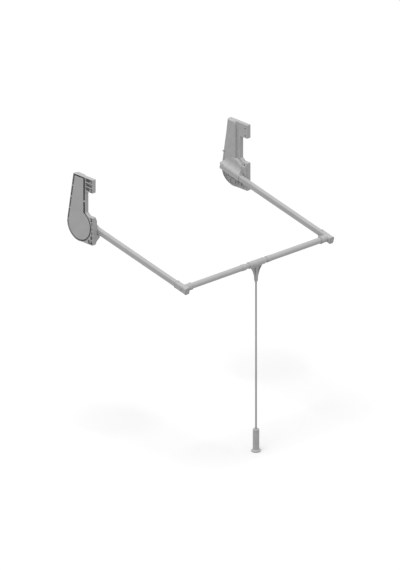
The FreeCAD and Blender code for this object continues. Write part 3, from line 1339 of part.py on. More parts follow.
def grip():
    """A hollow moulded grip with a flared foot, a base plug and a screw up
    into the rod."""
    foot = "(-rod_reach + base_depth)"
    inner = "(grip_radius - grip_wall)"
    hub = "(rod_radius + grip_wall)"
    bore = "(rod_radius + fit_gap)"
    hub_low = f"({GRIP_TOP} - grip_hub_length)"
    roof = f"({GRIP_TOP} - 2 * grip_wall)"
    sleeve = turned("grip_sleeve", [
        (bore, GRIP_TOP), ("grip_radius - grip_edge", GRIP_TOP),
        ("grip_radius", f"{GRIP_TOP} - 2 * grip_edge"),
        ("grip_radius", "-rod_reach + flare_height", "flare_round", 1), ("grip_flare", foot),
        (inner, foot), (inner, roof), (hub, roof), (hub, hub_low), (bore, hub_low)], "V_Axis")
    keep_middle(at_tee(sleeve), "grip_sleeve")
    sink = "(-rod_reach + grip_screw_sink)"
    plug = f"({inner} - fit_gap)"
    base = turned("grip_base", [
        ("grip_screw_radius + fit_gap", sink), ("grip_screw_head + fit_gap", sink),
        ("grip_screw_head + fit_gap", "-rod_reach"), ("grip_flare - base_edge", "-rod_reach"),
        ("grip_flare", "-rod_reach + base_edge"), ("grip_flare", foot), (plug, foot),
        (plug, f"{foot} + base_spigot"), ("grip_screw_radius + fit_gap", f"{foot} + base_spigot")], "V_Axis")
    keep_middle(at_tee(base), "grip_base")
    tip = f"({ROD_LOW} + grip_screw_hold)"
    screw = turned("grip_screw", [
        ("0", "-rod_reach"), ("grip_screw_head", "-rod_reach"), ("grip_screw_head", sink),
        ("grip_screw_radius", sink), ("grip_screw_radius", tip), ("0", tip)], "V_Axis")
    keep_middle(at_tee(screw), "grip_screw")


# ---------------------------------------------------------------- build

housing_shell()
back_plate()
bushes()
plate_screws()
gas_spring()
rack()
rack_guide()
stop_buffers()
pinion()
pivot_shaft()
arm_tube()
arm_rear_cap()
arm_knuckle()
shaft_block()
elbow()
elbow_cap()
elbow_screws()
bar_tube()
bar_collar()
inner_tube()
tee_bracket()
tee_set_screw()
pull_rod()
grip()

nodes = dict(MIDDLE)
for name, piece in LEFT.items():
    twin = doc.addObject("Part::Mirroring", "right_" + name)
    twin.Source = piece
    twin.Normal = (1, 0, 0)
    twin.setExpression("Base.x", bind(HALF_SPAN))
    twin.Label = "right_" + name
    nodes["left_" + name] = piece
    nodes["right_" + name] = twin
doc.recompute()

faults = [o.Label for o in doc.Objects if "Invalid" in o.State or "Error" in o.State]
for name, piece in nodes.items():
    if piece.Label != name or piece.Shape.isNull() or not piece.Shape.isValid() or not piece.Shape.Solids:
        faults.append(name)
if faults:
    raise RuntimeError("these failed: " + ", ".join(faults))

os.makedirs("parts", exist_ok=True)
for name, piece in sorted(nodes.items()):
    piece.Shape.exportStep(f"parts/{name}.step")
print(len(nodes), "nodes written")
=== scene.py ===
# %% [markdown]
# # A pull down closet rod
# Two moulded housings are screwed to the side walls of a wardrobe.  Each carries
# an arm, and a telescopic rail between the arms holds the clothes.  A long rod
# with a grip draws the rail down to the front.  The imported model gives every
# piece its place; this notebook gives each piece its finish, and remakes the
# pieces whose edges and faces deserve more than a bare solid has.

# %% Load the frame
import json
import math

import bmesh
import bpy
from mathutils import Matrix, Vector


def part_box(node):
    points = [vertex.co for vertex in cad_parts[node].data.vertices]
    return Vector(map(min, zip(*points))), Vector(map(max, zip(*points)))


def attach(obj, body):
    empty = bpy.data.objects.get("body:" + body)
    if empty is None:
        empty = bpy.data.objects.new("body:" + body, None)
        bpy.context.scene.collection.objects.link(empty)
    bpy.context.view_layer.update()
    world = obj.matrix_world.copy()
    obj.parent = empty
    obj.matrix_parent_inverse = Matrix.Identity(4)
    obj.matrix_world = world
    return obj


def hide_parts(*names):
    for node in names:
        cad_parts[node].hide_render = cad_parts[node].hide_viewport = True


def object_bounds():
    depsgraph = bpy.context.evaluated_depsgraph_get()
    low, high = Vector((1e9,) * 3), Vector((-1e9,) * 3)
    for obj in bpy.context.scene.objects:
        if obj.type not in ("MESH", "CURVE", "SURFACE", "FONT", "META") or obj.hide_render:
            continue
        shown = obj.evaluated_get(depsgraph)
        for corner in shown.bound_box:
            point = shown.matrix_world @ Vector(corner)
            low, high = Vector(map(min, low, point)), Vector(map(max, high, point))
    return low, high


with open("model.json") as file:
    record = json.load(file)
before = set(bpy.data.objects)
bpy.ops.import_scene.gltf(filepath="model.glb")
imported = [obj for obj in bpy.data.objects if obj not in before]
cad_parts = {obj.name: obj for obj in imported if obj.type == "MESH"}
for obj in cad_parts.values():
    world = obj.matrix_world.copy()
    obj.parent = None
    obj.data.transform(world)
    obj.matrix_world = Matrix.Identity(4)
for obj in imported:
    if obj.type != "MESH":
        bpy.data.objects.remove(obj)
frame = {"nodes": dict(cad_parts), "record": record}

MM = 0.001
CAD_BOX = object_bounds()
print("nodes", len(frame["nodes"]), "box", [[round(v, 4) for v in corner] for corner in CAD_BOX])

# %% [markdown]
# ## The main lines
# On the real lift everything follows two axes: the pivot of the arms, which is
# the origin, and the axis of the rail.  They could be typed in again, but then
# they might drift from the model, so they are read from the boxes of the nodes.

# %% Axes and spans from the frame
rail_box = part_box("inner_tube")
RAIL = (rail_box[0] + rail_box[1]) / 2
RAIL_RADIUS = (rail_box[1].z - rail_box[0].z) / 2
WALL_SPAN = CAD_BOX[1].x
DIP = math.atan2(-RAIL.z, -RAIL.y)
LEVEL_TO_ARM = Matrix.Rotation(DIP, 4, "X")
AT_RAIL = Matrix.Translation((0, RAIL.y, RAIL.z))
print("wall span", round(WALL_SPAN, 4), "arm dip", round(math.degrees(DIP), 2),
      "arm length", round(math.hypot(RAIL.y, RAIL.z), 4))

# %% [markdown]
# ## Nodes by code
# Shader trees and Geometry Nodes trees are both made of nodes, settings and
# links, so one small function serves them all.  Colours are written as the
# sRGB hex codes that a maker reads off a swatch, and turned to linear once.

# %% Two helpers for node trees
def add(tree, kind, inputs=None, **settings):
    """Add a node, set its settings, then fill its inputs by value or by link."""
    node = tree.nodes.new(kind)
    for name, value in settings.items():
        setattr(node, name, value)
    for key, value in (inputs or {}).items():
        if isinstance(value, bpy.types.NodeSocket):
            tree.links.new(value, node.inputs[key])
        else:
            node.inputs[key].default_value = value
    return node


def colour(code):
    """An sRGB hex code as linear red, green, blue and alpha."""
    parts = [int(code[i:i + 2], 16) / 255 for i in (1, 3, 5)]
    return [p / 12.92 if p <= 0.04045 else ((p + 0.055) / 1.055) ** 2.4 for p in parts] + [1.0]


print("mid grey", [round(v, 3) for v in colour("#808080")])

# %% [markdown]
# ## Camera
# The lift is looked at from the front left and a little above, with no
# perspective.  A perspective camera would make the near arm look longer than
# the far one; an orthographic one keeps both arms parallel, so it is used here.

# %% Camera
AZIMUTH = math.radians(-43.3)
ELEVATION = math.radians(22.1)
PICTURE = (400, 570)
PIXEL = 4.1 * MM                # one pixel, on the object
ORIGIN_AT = (79.2, 224.7)       # where the model's origin falls, in pixels from the top left
CAMERA_BACK = 4.0               # metres from the object
CAMERA_SIGHT = 30.0             # metres that it sees

right = Vector((math.cos(AZIMUTH), math.sin(AZIMUTH), 0))
back = Vector((math.sin(AZIMUTH) * math.cos(ELEVATION),
               -math.cos(AZIMUTH) * math.cos(ELEVATION), math.sin(ELEVATION)))
up = back.cross(right)
camera = bpy.data.objects.new("camera", bpy.data.cameras.new("camera"))
camera.data.type = "ORTHO"
camera.data.ortho_scale = max(PICTURE) * PIXEL
camera.data.clip_end = CAMERA_SIGHT
camera.location = (right * (PICTURE[0] / 2 - ORIGIN_AT[0]) * PIXEL
                   + up * (ORIGIN_AT[1] - PICTURE[1] / 2) * PIXEL + back * CAMERA_BACK)
camera.rotation_euler = back.to_track_quat("Z", "Y").to_euler()
bpy.context.scene.collection.objects.link(camera)
bpy.context.scene.camera = camera
print("camera at", [round(v, 3) for v in camera.location], "scale", round(camera.data.ortho_scale, 3))

# %% [markdown]
# ## Sky and sun
# Plain studio light: an even white sky, and one wide sun high on the left, so
# that tops are palest and fronts a little darker.  Area lamps could do it, but
# they would light the near arm more than the far one.  A camera or a mirror
# sees a sky of full white, while the sky that lights the pieces is weaker.

# %% World and sun
SKY = 0.72                      # strength of the sky that lights the pieces
SUN_STRENGTH = 1.75
SUN_SPREAD = math.radians(20)   # as wide as a large soft box
SUN_TOWARD = Vector((-0.233, -0.081, 0.969))


def to_the_eye(tree):
    """One for what a camera, a mirror or glass sees, and nothing for bounced light."""
    ray = add(tree, "ShaderNodeLightPath").outputs
    share = ray["Is Camera Ray"]
    for kind in ("Is Glossy Ray", "Is Transmission Ray"):
        share = add(tree, "ShaderNodeMath", {0: share, 1: ray[kind]}, operation="MAXIMUM").outputs[0]
    return share


world = bpy.data.worlds.new("even sky")
world.use_nodes = True
sky_tree = world.node_tree
sky_tree.nodes.clear()
level = add(sky_tree, "ShaderNodeMapRange", {"Value": to_the_eye(sky_tree), "To Min": SKY, "To Max": 1.0})
sky = add(sky_tree, "ShaderNodeBackground", {"Color": colour("#FFFFFF"), "Strength": level.outputs[0]})
add(sky_tree, "ShaderNodeOutputWorld", {"Surface": sky.outputs[0]})
bpy.context.scene.world = world
bpy.context.scene.view_settings.view_transform = "Standard"

sun = bpy.data.objects.new("sun", bpy.data.lights.new("sun", "SUN"))
sun.data.energy = SUN_STRENGTH
sun.data.angle = SUN_SPREAD
sun.rotation_euler = SUN_TOWARD.to_track_quat("Z", "Y").to_euler()
bpy.context.scene.collection.objects.link(sun)
print("sky", SKY, "sun", sun.data.energy)

# %% [markdown]
# ## Floor
# The floor is a sweep of white paper just under the grip.  A plain white plane
# would throw so much light back that the undersides of the arms lost their
# shade.  So the paper is near white to the eye and a mid grey to light that
# bounces, and it is clear from below, so that the lift can be seen from there.

# %% Paper floor
FLOOR_SIZE = 24.0
FLOOR_GAP = 1 * MM
PAPER_SEEN = "#E9E9E9"
PAPER_BOUNCING = "#A8A8A8"


def paper_floor():
    """White paper: near white to the eye, mid grey to bounced light, and clear from below."""
    paper = bpy.data.materials.new("white_paper_floor")
    paper.use_nodes = True
    tree = paper.node_tree
    tree.nodes.clear()
    tone = add(tree, "ShaderNodeMix", {0: to_the_eye(tree), 6: colour(PAPER_BOUNCING), 7: colour(PAPER_SEEN)},
               data_type="RGBA")
    sheet = add(tree, "ShaderNodeBsdfDiffuse", {"Color": tone.outputs[2]})
    clear = add(tree, "ShaderNodeBsdfTransparent")
    below = add(tree, "ShaderNodeNewGeometry").outputs["Backfacing"]
    both = add(tree, "ShaderNodeMixShader", {0: below, 1: sheet.outputs[0], 2: clear.outputs[0]})
    add(tree, "ShaderNodeOutputMaterial", {"Surface": both.outputs[0]})
    return paper


bpy.ops.mesh.primitive_plane_add(size=FLOOR_SIZE, location=(WALL_SPAN / 2, 0, CAD_BOX[0].z - FLOOR_GAP))
floor = bpy.context.object
floor.name = "floor"
floor.data.materials.append(paper_floor())
print("floor at", round(floor.location.z, 4))

# %% [markdown]
# ## What every finish shares
# Each finish is one shader whose colour and gloss drift a little in patches of
# a real size, as they do where melt flowed, paint settled or hands rubbed, and
# whose surface has a fine relief.  Image textures could do it too, but noise
# measured in millimetres fits any piece without unwrapping it.

# %% Parts of a finish
NOISE_RANGE = (0.35, 0.65)      # most of a noise texture lies between these
RUBBED = (0.995, 0.9)           # how far two normals agree where the rub starts and where it is full


def start_finish(name, metallic=0.0, ior=None):
    """An empty finish: its material, tree, shader and place on the piece."""
    material = bpy.data.materials.new(name)
    material.use_nodes = True
    tree = material.node_tree
    tree.nodes.clear()
    shader = add(tree, "ShaderNodeBsdfPrincipled", {"Metallic": metallic})
    if ior:
        shader.inputs["IOR"].default_value = ior
    add(tree, "ShaderNodeOutputMaterial", {"Surface": shader.outputs["BSDF"]})
    place = add(tree, "ShaderNodeTexCoord").outputs["Object"]
    return material, tree, shader, place


def drift(tree, shader, place, shades, gloss, patch):
    """Let colour and roughness wander between two values in patches of that size."""
    noise = add(tree, "ShaderNodeTexNoise", {"Vector": place, "Scale": 1 / patch, "Detail": 5.0})
    spread = {"Value": noise.outputs[0], "From Min": NOISE_RANGE[0], "From Max": NOISE_RANGE[1]}
    share = add(tree, "ShaderNodeMapRange", spread)
    tint = add(tree, "ShaderNodeMix", {0: share.outputs[0], 6: colour(shades[0]), 7: colour(shades[1])},
               data_type="RGBA")
    tree.links.new(tint.outputs[2], shader.inputs["Base Color"])
    rough = add(tree, "ShaderNodeMapRange", {**spread, "To Min": gloss[0], "To Max": gloss[1]})
    tree.links.new(rough.outputs[0], shader.inputs["Roughness"])
    return tint.outputs[2]


def relief(tree, shader, height, depth):
    """Raise the surface by a pattern whose full height is a real depth."""
    bump = add(tree, "ShaderNodeBump", {"Height": height, "Distance": depth, "Strength": 1.0})
    tree.links.new(bump.outputs["Normal"], shader.inputs["Normal"])


def worn_edges(tree, shader, tint, pale, width, share):
    """Lighten what lies within a width of a sharp edge, where hands and hangers rub."""
    soft = add(tree, "ShaderNodeBevel", {"Radius": width}, samples=4).outputs["Normal"]
    flat = add(tree, "ShaderNodeNewGeometry").outputs["Normal"]
    agree = add(tree, "ShaderNodeVectorMath", {0: soft, 1: flat}, operation="DOT_PRODUCT").outputs["Value"]
    edge = add(tree, "ShaderNodeMapRange", {"Value": agree, "From Min": RUBBED[0], "From Max": RUBBED[1],
                                            "To Min": 0.0, "To Max": share})
    mix = add(tree, "ShaderNodeMix", {0: edge.outputs[0], 6: tint, 7: colour(pale)}, data_type="RGBA")
    tree.links.new(mix.outputs[2], shader.inputs["Base Color"])


print("noise between", NOISE_RANGE, "rubbed between", RUBBED)

# %% [markdown]
# ## Moulded nylon
# Housings, knuckles, elbows and the tee are injection moulded in glass-filled
# nylon.  The mould is spark eroded, which leaves a fine matt grain about
# 0.4 mm across and 0.02 mm deep, and the melt leaves faint paler flow patches.
# The grain is drawn twice as coarse and deep, so that it shows at all, and
# coarser still on the grip.  Edges that hands and hangers rub are paler.

# %% Glass-filled nylon for housings, fittings and the grip
RUB_PALE = "#C6C6C5"
RUB_WIDTH = 0.9 * MM
RUB_SHARE = 0.5
FLOW_PATCH = 22 * MM


def moulded_nylon(name, shades, gloss, grain=0.8 * MM, depth=0.04 * MM):
    """Matt grey with a spark-eroded grain, flow patches and rubbed edges."""
    material, tree, shader, place = start_finish(name, ior=1.53)
    tint = drift(tree, shader, place, shades, gloss, FLOW_PATCH)
    worn_edges(tree, shader, tint, RUB_PALE, RUB_WIDTH, RUB_SHARE)
    pits = add(tree, "ShaderNodeTexVoronoi", {"Vector": place, "Scale": 1 / grain}, feature="SMOOTH_F1")
    relief(tree, shader, pits.outputs["Distance"], depth)
    return material


FINISH = {
    "housing_moulding": moulded_nylon("spark_eroded_nylon_housing", ("#A7A7A7", "#AFAFAF"), (0.50, 0.62)),
    "fitting_moulding": moulded_nylon("spark_eroded_nylon_fitting", ("#A7A7A7", "#B0B0B0"), (0.46, 0.58)),
    "grip_moulding": moulded_nylon("satin_nylon_grip", ("#A5A5A5", "#ADADAD"), (0.38, 0.50),
                                   grain=1.2 * MM, depth=0.03 * MM),
}
print("mouldings", [m.name for m in FINISH.values()])

# %% [markdown]
# ## Powder coat
# Arms, rail and pull rod are steel tube with an epoxy powder coat.  The powder
# melts into a skin with a soft orange peel about 2 mm across, glossier than
# the mouldings.  The coated sheet of the back plate has the same peel, and
# faint rolling lines of the steel show through it.  The gas spring has a
# glossier black enamel.  A plain colour could pass for paint, but the peel is
# what breaks up the light along a tube, so all three come from one function.

# %% Powder coated tube and sheet
COAT_PATCH = 45 * MM
ROLLING_LINE = 1.5 * MM
ROLLING_STRETCH = 0.04          # lines run on until they are 25 times as long as wide


def powder_coat(name, shades, gloss, peel=2.2 * MM, depth=0.03 * MM, rolled=False):
    """A cured powder skin; on sheet, rolling lines run up and down under it."""
    material, tree, shader, place = start_finish(name, ior=1.5)
    drift(tree, shader, place, shades, gloss, COAT_PATCH)
    height = add(tree, "ShaderNodeTexNoise", {"Vector": place, "Scale": 1 / peel, "Detail": 1.0}).outputs[0]
    if rolled:
        drawn = add(tree, "ShaderNodeMapping", {"Vector": place, "Scale": (1, 1, ROLLING_STRETCH)})
        lines = add(tree, "ShaderNodeTexNoise", {"Vector": drawn.outputs[0], "Scale": 1 / ROLLING_LINE})
        height = add(tree, "ShaderNodeMath", {0: height, 1: lines.outputs[0]}, operation="ADD").outputs[0]
    relief(tree, shader, height, depth)
    return material


FINISH["tube_paint"] = powder_coat("epoxy_powder_coat_tube", ("#A9A9A9", "#AEAEAE"), (0.34, 0.44))
FINISH["plate_steel"] = powder_coat("epoxy_powder_coat_sheet", ("#A6A6A6", "#ACACAC"), (0.40, 0.52),
                                    rolled=True)
FINISH["cylinder_paint"] = powder_coat("black_enamel_on_gas_spring", ("#1B1B1C", "#232324"), (0.20, 0.32))
print("coats", FINISH["tube_paint"].name, FINISH["plate_steel"].name, FINISH["cylinder_paint"].name)

# %% [markdown]
# ## Bare and plated metal
# Screws and pins are zinc plated: a cool grey with cloudy patches from the
# passivation.  The two screws of each cover are a dark grey metal instead, and
# look dark against the grey moulding.  Rack, pinion and shaft are machined steel
# with fine cutter lines. The gas spring's rod is ground and hard chromed,
# nearly a mirror.  Such lines could be cut into the mesh, but half a millimetre
# is too fine for that, so they are a relief, stretched the way the tool ran.

# %% Zinc, phosphate, machined steel and hard chrome
CLOUD_PATCH = 6 * MM


def cut_metal(name, shades, gloss, pitch, depth, stretch=(1, 1, 1)):
    """Bare metal with tool lines a pitch apart; the stretch sets which way they run."""
    material, tree, shader, place = start_finish(name, metallic=1.0)
    drift(tree, shader, place, shades, gloss, CLOUD_PATCH)
    drawn = add(tree, "ShaderNodeMapping", {"Vector": place, "Scale": stretch})
    lines = add(tree, "ShaderNodeTexNoise", {"Vector": drawn.outputs[0], "Scale": 1 / pitch, "Detail": 2.0})
    relief(tree, shader, lines.outputs[0], depth)
    return material


FINISH["screw_steel"] = cut_metal("zinc_plate_clear_passivated", ("#8F9193", "#A9ABAE"), (0.32, 0.48),
                                  pitch=0.5 * MM, depth=0.008 * MM)
# the two cover screws are given a dark grey metal
FINISH["cover_screw_steel"] = cut_metal("dark_grey_screw_metal", ("#4A4B4D", "#5C5D60"), (0.45, 0.60),
                                        pitch=0.5 * MM, depth=0.008 * MM)
FINISH["gear_steel"] = cut_metal("machined_gear_steel", ("#8C8D90", "#A3A4A8"), (0.28, 0.42),
                                 pitch=0.3 * MM, depth=0.01 * MM, stretch=(1, 0.05, 0.05))
FINISH["hard_chrome"] = cut_metal("ground_hard_chrome", ("#C9CBCE", "#D3D5D8"), (0.06, 0.12),
                                  pitch=0.2 * MM, depth=0.002 * MM, stretch=(0.1, 0.1, 1))
for metal in ("screw_steel", "cover_screw_steel", "gear_steel", "hard_chrome"):
    print(metal, "is", FINISH[metal].name)

# %% [markdown]
# ## Acetal and rubber
# Bushes, slide block and glides are cut from white acetal, waxy and a little
# translucent.  The end stops are black nitrile rubber with the grain of their
# mould.  White paint has the colour of acetal but looks hard, so a little light
# is let in under its surface.  Rubber only needs to be dull.

# %% Acetal and nitrile rubber
WAX_DEPTH = 1.5 * MM            # how far light wanders into acetal
TURNING_MARKS = 0.6 * MM
MOULD_GRAIN = 0.5 * MM


def acetal():
    """Waxy white, with the faint marks of the lathe tool."""
    material, tree, shader, place = start_finish("turned_white_acetal", ior=1.48)
    drift(tree, shader, place, ("#DADAD6", "#E2E2DE"), (0.30, 0.42), patch=10 * MM)
    shader.inputs["Subsurface Weight"].default_value = 0.1
    shader.inputs["Subsurface Radius"].default_value = (WAX_DEPTH, WAX_DEPTH, WAX_DEPTH)
    marks = add(tree, "ShaderNodeTexNoise", {"Vector": place, "Scale": 1 / TURNING_MARKS})
    relief(tree, shader, marks.outputs[0], depth=0.01 * MM)
    return material


def rubber():
    """Dull black, with the grain of its mould."""
    material, tree, shader, place = start_finish("moulded_nitrile_rubber", ior=1.52)
    drift(tree, shader, place, ("#161616", "#1F1F1F"), (0.65, 0.8), patch=5 * MM)
    grain = add(tree, "ShaderNodeTexNoise", {"Vector": place, "Scale": 1 / MOULD_GRAIN})
    relief(tree, shader, grain.outputs[0], depth=0.03 * MM)
    return material


FINISH["acetal"] = acetal()
FINISH["rubber"] = rubber()
print("soft", FINISH["acetal"].name, FINISH["rubber"].name)

# %% [markdown]
# ## Finishes on their nodes
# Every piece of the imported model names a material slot, such as gear_steel.
# The pieces could be finished one at a time, but their slots already say which
# are alike, so one loop gives each node the finish of its slot.

# %% Give every node its finish
SLOT_OF = {part["node"]: part["material_slot"] for part in frame["record"]["subparts"]}
for name, node in frame["nodes"].items():
    node.data.materials.clear()
    node.data.materials.append(FINISH[SLOT_OF[name]])
print("finished", len(SLOT_OF), "nodes in", len(set(SLOT_OF.values())), "finishes")

# %% [markdown]
# ## Freezing a piece
# A modifier is a recipe that stays open.  It could be left open, but the
# lift's pieces are finished goods and other programs only read plain meshes.
# So each recipe is run once and its result kept, with faces outwards; then the
# piece is tied to the body that carries it.

# %% Freeze a piece and fit it to its body
BODY_OF = {node: body for body, nodes in frame["record"]["behaviour"]["bodies"].items() for node in nodes}


def new_piece(name, mesh):
    """An object for a mesh, at the origin."""
    piece = bpy.data.objects.new(name, mesh)
    bpy.context.scene.collection.objects.link(piece)
    return piece


def freeze(piece):
    """Keep what the modifiers make as a plain mesh, and drop them."""
    made = bpy.data.meshes.new_from_object(piece.evaluated_get(bpy.context.evaluated_depsgraph_get()))
    piece.modifiers.clear()
    piece.data = made
    return piece


def face_outwards(piece):
    """Turn every face of a closed piece outwards."""
    shape = bmesh.new()
    shape.from_mesh(piece.data)
    bmesh.ops.recalc_face_normals(shape, faces=shape.faces)
    shape.to_mesh(piece.data)
    shape.free()
    return piece


def fit(piece, *nodes, finish=None):
    """Let a piece stand for CAD nodes: same body, and same finish unless another is named."""
    slot = SLOT_OF[nodes[0]]
    piece.data.materials.clear()
    piece.data.materials.append(FINISH[finish or slot])
    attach(piece, BODY_OF[nodes[0]])
    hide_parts(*nodes)
    return piece


# %% [markdown]
# ## Softened mouldings
# No cutter leaves a mould with a perfectly sharp corner, so the housings,
# knuckles, elbows, caps and the tee catch a thin line of light along every
# edge, and the deburred sheet of the back plates a thinner one.  They could be
# modelled again, but their ribs and bosses are right as packed.  So a copy of
# each is merged, flat facets are joined, the edges get a small bevel, and the
# shading is weighted by face area, which keeps the flats flat.

# %% Soften the edges of a copy
MERGE = 0.001 * MM              # corners this near are one
FLAT_ANGLE = math.radians(1)    # facets that meet at less are one face
EDGE_ANGLE = math.radians(28)   # faces that meet at more have an edge
BEVEL_STEPS = 2


def softened(node, edge):
    """A copy of a node with its sharp edges rounded by that width."""
    mesh = frame["nodes"][node].data.copy()
    shape = bmesh.new()
    shape.from_mesh(mesh)
    bmesh.ops.remove_doubles(shape, verts=shape.verts, dist=MERGE)
    bmesh.ops.dissolve_limit(shape, angle_limit=FLAT_ANGLE, verts=shape.verts, edges=shape.edges)
    shape.to_mesh(mesh)
    shape.free()
    mesh.shade_smooth()
    piece = new_piece(node + "_finished", mesh)
    bevel = piece.modifiers.new("rounded edges", "BEVEL")
    bevel.width = edge
    bevel.segments = BEVEL_STEPS
    bevel.angle_limit = EDGE_ANGLE
    weight = piece.modifiers.new("flat flats", "WEIGHTED_NORMAL")
    weight.keep_sharp = True
    return freeze(piece)


SOFT_EDGES = {"housing_shell": 0.5 * MM, "arm_knuckle": 0.6 * MM, "elbow": 0.6 * MM, "elbow_cap": 0.4 * MM,
              "arm_rear_cap": 0.4 * MM, "back_plate": 0.3 * MM}
TEE_EDGE = 0.5 * MM
for side in ("left_", "right_"):
    for part, edge in SOFT_EDGES.items():
        made = fit(softened(side + part, edge), side + part)
        print(made.name, len(made.data.polygons), "faces")
tee = fit(softened("tee_bracket", TEE_EDGE), "tee_bracket")
print(tee.name, len(tee.data.polygons), "faces")

# %% [markdown]
# ## Trees that make pieces
# A Geometry Nodes tree is a recipe with named inputs, so that one tree can
# make many pieces of different sizes.  Every tree here starts and ends alike:
# geometry and sizes come in, and real geometry goes out, with its finish and
# with creases where it turns sharply.

# %% Open and close a tree
SHARP = math.radians(40)        # faces that meet at more than this keep a crease


def new_tree(name, sockets):
    """An empty Geometry Nodes tree with a geometry in and out and named inputs."""
    tree = bpy.data.node_groups.new(name, "GeometryNodeTree")
    tree.interface.new_socket("Geometry", in_out="INPUT", socket_type="NodeSocketGeometry")
    for label, kind in sockets.items():
        tree.interface.new_socket(label, in_out="INPUT", socket_type="NodeSocket" + kind)
    tree.interface.new_socket("Geometry", in_out="OUTPUT", socket_type="NodeSocketGeometry")
    return tree, add(tree, "NodeGroupInput").outputs


def close_tree(tree, geometry, finish):
    """End a tree: real geometry with its finish, creased where it turns sharply."""
    turn = add(tree, "GeometryNodeInputMeshEdgeAngle").outputs["Unsigned Angle"]
    sharp = add(tree, "FunctionNodeCompare", {0: turn, 1: SHARP}, operation="GREATER_THAN").outputs[0]
    real = add(tree, "GeometryNodeRealizeInstances", {0: geometry}).outputs[0]
    smooth = add(tree, "GeometryNodeSetShadeSmooth", {0: real}).outputs[0]
    creased = add(tree, "GeometryNodeSetShadeSmooth", {0: smooth, 1: sharp, 2: False}, domain="EDGE")
    done = add(tree, "GeometryNodeSetMaterial", {"Geometry": creased.outputs[0], "Material": finish})
    add(tree, "NodeGroupOutput", {0: done.outputs[0]})
    return tree


def run_tree(piece, tree, values):
    """Put a tree on a piece, its inputs set by their identifiers, and freeze it."""
    modifier = piece.modifiers.new(tree.name, "NODES")
    modifier.node_group = tree
    for item in tree.interface.items_tree:
        if item.in_out == "INPUT" and item.name in values:
            modifier[item.identifier] = values[item.name]
    return freeze(piece)


print("creases above", round(math.degrees(SHARP)), "degrees")

# %% [markdown]
# ## A lathe
# The rail tubes, their collars, the pull rod and the grip are all turned or
# drawn shapes: one section carried round an axis.  The Spin tool would do, but
# a tree makes them all from their sections and rounds the corners as well.  It
# lays a grid with one row for each point of the section, and bends every column
# round the axis.

# %% The lathe tree
CORNER_STEPS = 3


def lathe_tree():
    """Carry a closed section in the XZ plane round Z."""
    tree, given = new_tree("lathe", {"Edge radius": "Float", "Steps around": "Int", "Finish": "Material"})
    section = add(tree, "GeometryNodeMeshToCurve", {0: given["Geometry"]}).outputs[0]
    place = add(tree, "GeometryNodeInputPosition").outputs[0]
    reach = add(tree, "ShaderNodeSeparateXYZ", {0: place}).outputs["X"]
    off_axis = add(tree, "FunctionNodeCompare", {0: reach, 1: MERGE}, operation="GREATER_THAN").outputs[0]
    bend = add(tree, "ShaderNodeMath", {0: off_axis, 1: given["Edge radius"]}, operation="MULTIPLY")
    section = add(tree, "GeometryNodeFilletCurve", {"Curve": section, "Count": CORNER_STEPS,
                                                    "Radius": bend.outputs[0], "Limit Radius": True},
                  mode="POLY").outputs[0]
    count = add(tree, "GeometryNodeAttributeDomainSize", {0: section}, component="CURVE")
    count = count.outputs["Point Count"]
    rows = add(tree, "FunctionNodeIntegerMath", {0: count, 1: 1}).outputs[0]
    columns = add(tree, "FunctionNodeIntegerMath", {0: given["Steps around"], 1: 1}).outputs[0]
    grid = add(tree, "GeometryNodeMeshGrid", {"Vertices X": columns, "Vertices Y": rows}).outputs["Mesh"]
    index = add(tree, "GeometryNodeInputIndex").outputs[0]
    row = add(tree, "FunctionNodeIntegerMath", {0: index, 1: rows}, operation="MODULO").outputs[0]
    point = add(tree, "FunctionNodeIntegerMath", {0: row, 1: count}, operation="MODULO").outputs[0]
    column = add(tree, "FunctionNodeIntegerMath", {0: index, 1: rows}, operation="DIVIDE_FLOOR").outputs[0]
    share = add(tree, "ShaderNodeMath", {0: column, 1: given["Steps around"]}, operation="DIVIDE").outputs[0]
    angle = add(tree, "ShaderNodeMath", {0: share, 1: math.tau}, operation="MULTIPLY").outputs[0]
    flat = add(tree, "GeometryNodeSampleIndex", {"Geometry": section, "Value": place, "Index": point},
               data_type="FLOAT_VECTOR").outputs[0]
    bent = add(tree, "ShaderNodeVectorRotate", {"Vector": flat, "Angle": angle},
               rotation_type="Z_AXIS").outputs[0]
    turned_grid = add(tree, "GeometryNodeSetPosition", {"Geometry": grid, "Position": bent}).outputs[0]
    closed = add(tree, "GeometryNodeMergeByDistance", {"Geometry": turned_grid, "Distance": MERGE}).outputs[0]
    return close_tree(tree, closed, given["Finish"])


LATHE = lathe_tree()
print("lathe tree", len(LATHE.nodes), "nodes")

# %% [markdown]
# ## A section on the lathe
# What the lathe carries round is half of the piece as a saw would show it: the
# tube's wall, or the rod from its axis out.  It could be drawn as a curve with
# handles, but a loop of edges is shorter to write, and the tree makes a curve
# of it.

# %% Turn a section
def closed_line(name, points):
    """A mesh of edges only: a closed section in the XZ plane, as (radius, height)."""
    mesh = bpy.data.meshes.new(name)
    edges = [(i, (i + 1) % len(points)) for i in range(len(points))]
    mesh.from_pydata([(r, 0, z) for r, z in points], edges, [])
    return new_piece(name, mesh)


def turned(name, points, edge, around, finish, lay=Matrix.Identity(4)):
    """A turned piece: its section about Z, then laid into its place."""
    piece = closed_line(name, points)
    run_tree(piece, LATHE, {"Edge radius": edge, "Steps around": around, "Finish": finish})
    piece.data.transform(lay)
    return face_outwards(piece)


print("the lathe asks for", [item.name for item in LATHE.interface.items_tree if item.in_out == "INPUT"])

# %% [markdown]
# ## The telescopic rail
# Two outer tubes of 25 mm slide over one inner tube.  Their ends are cut and
# deburred, which leaves a small rounded lip, and a moulded collar guides the
# inner tube.  A tube could be a cylinder with a thickness, but then its lip
# would be sharp, so each is turned from a section read from its node's box.

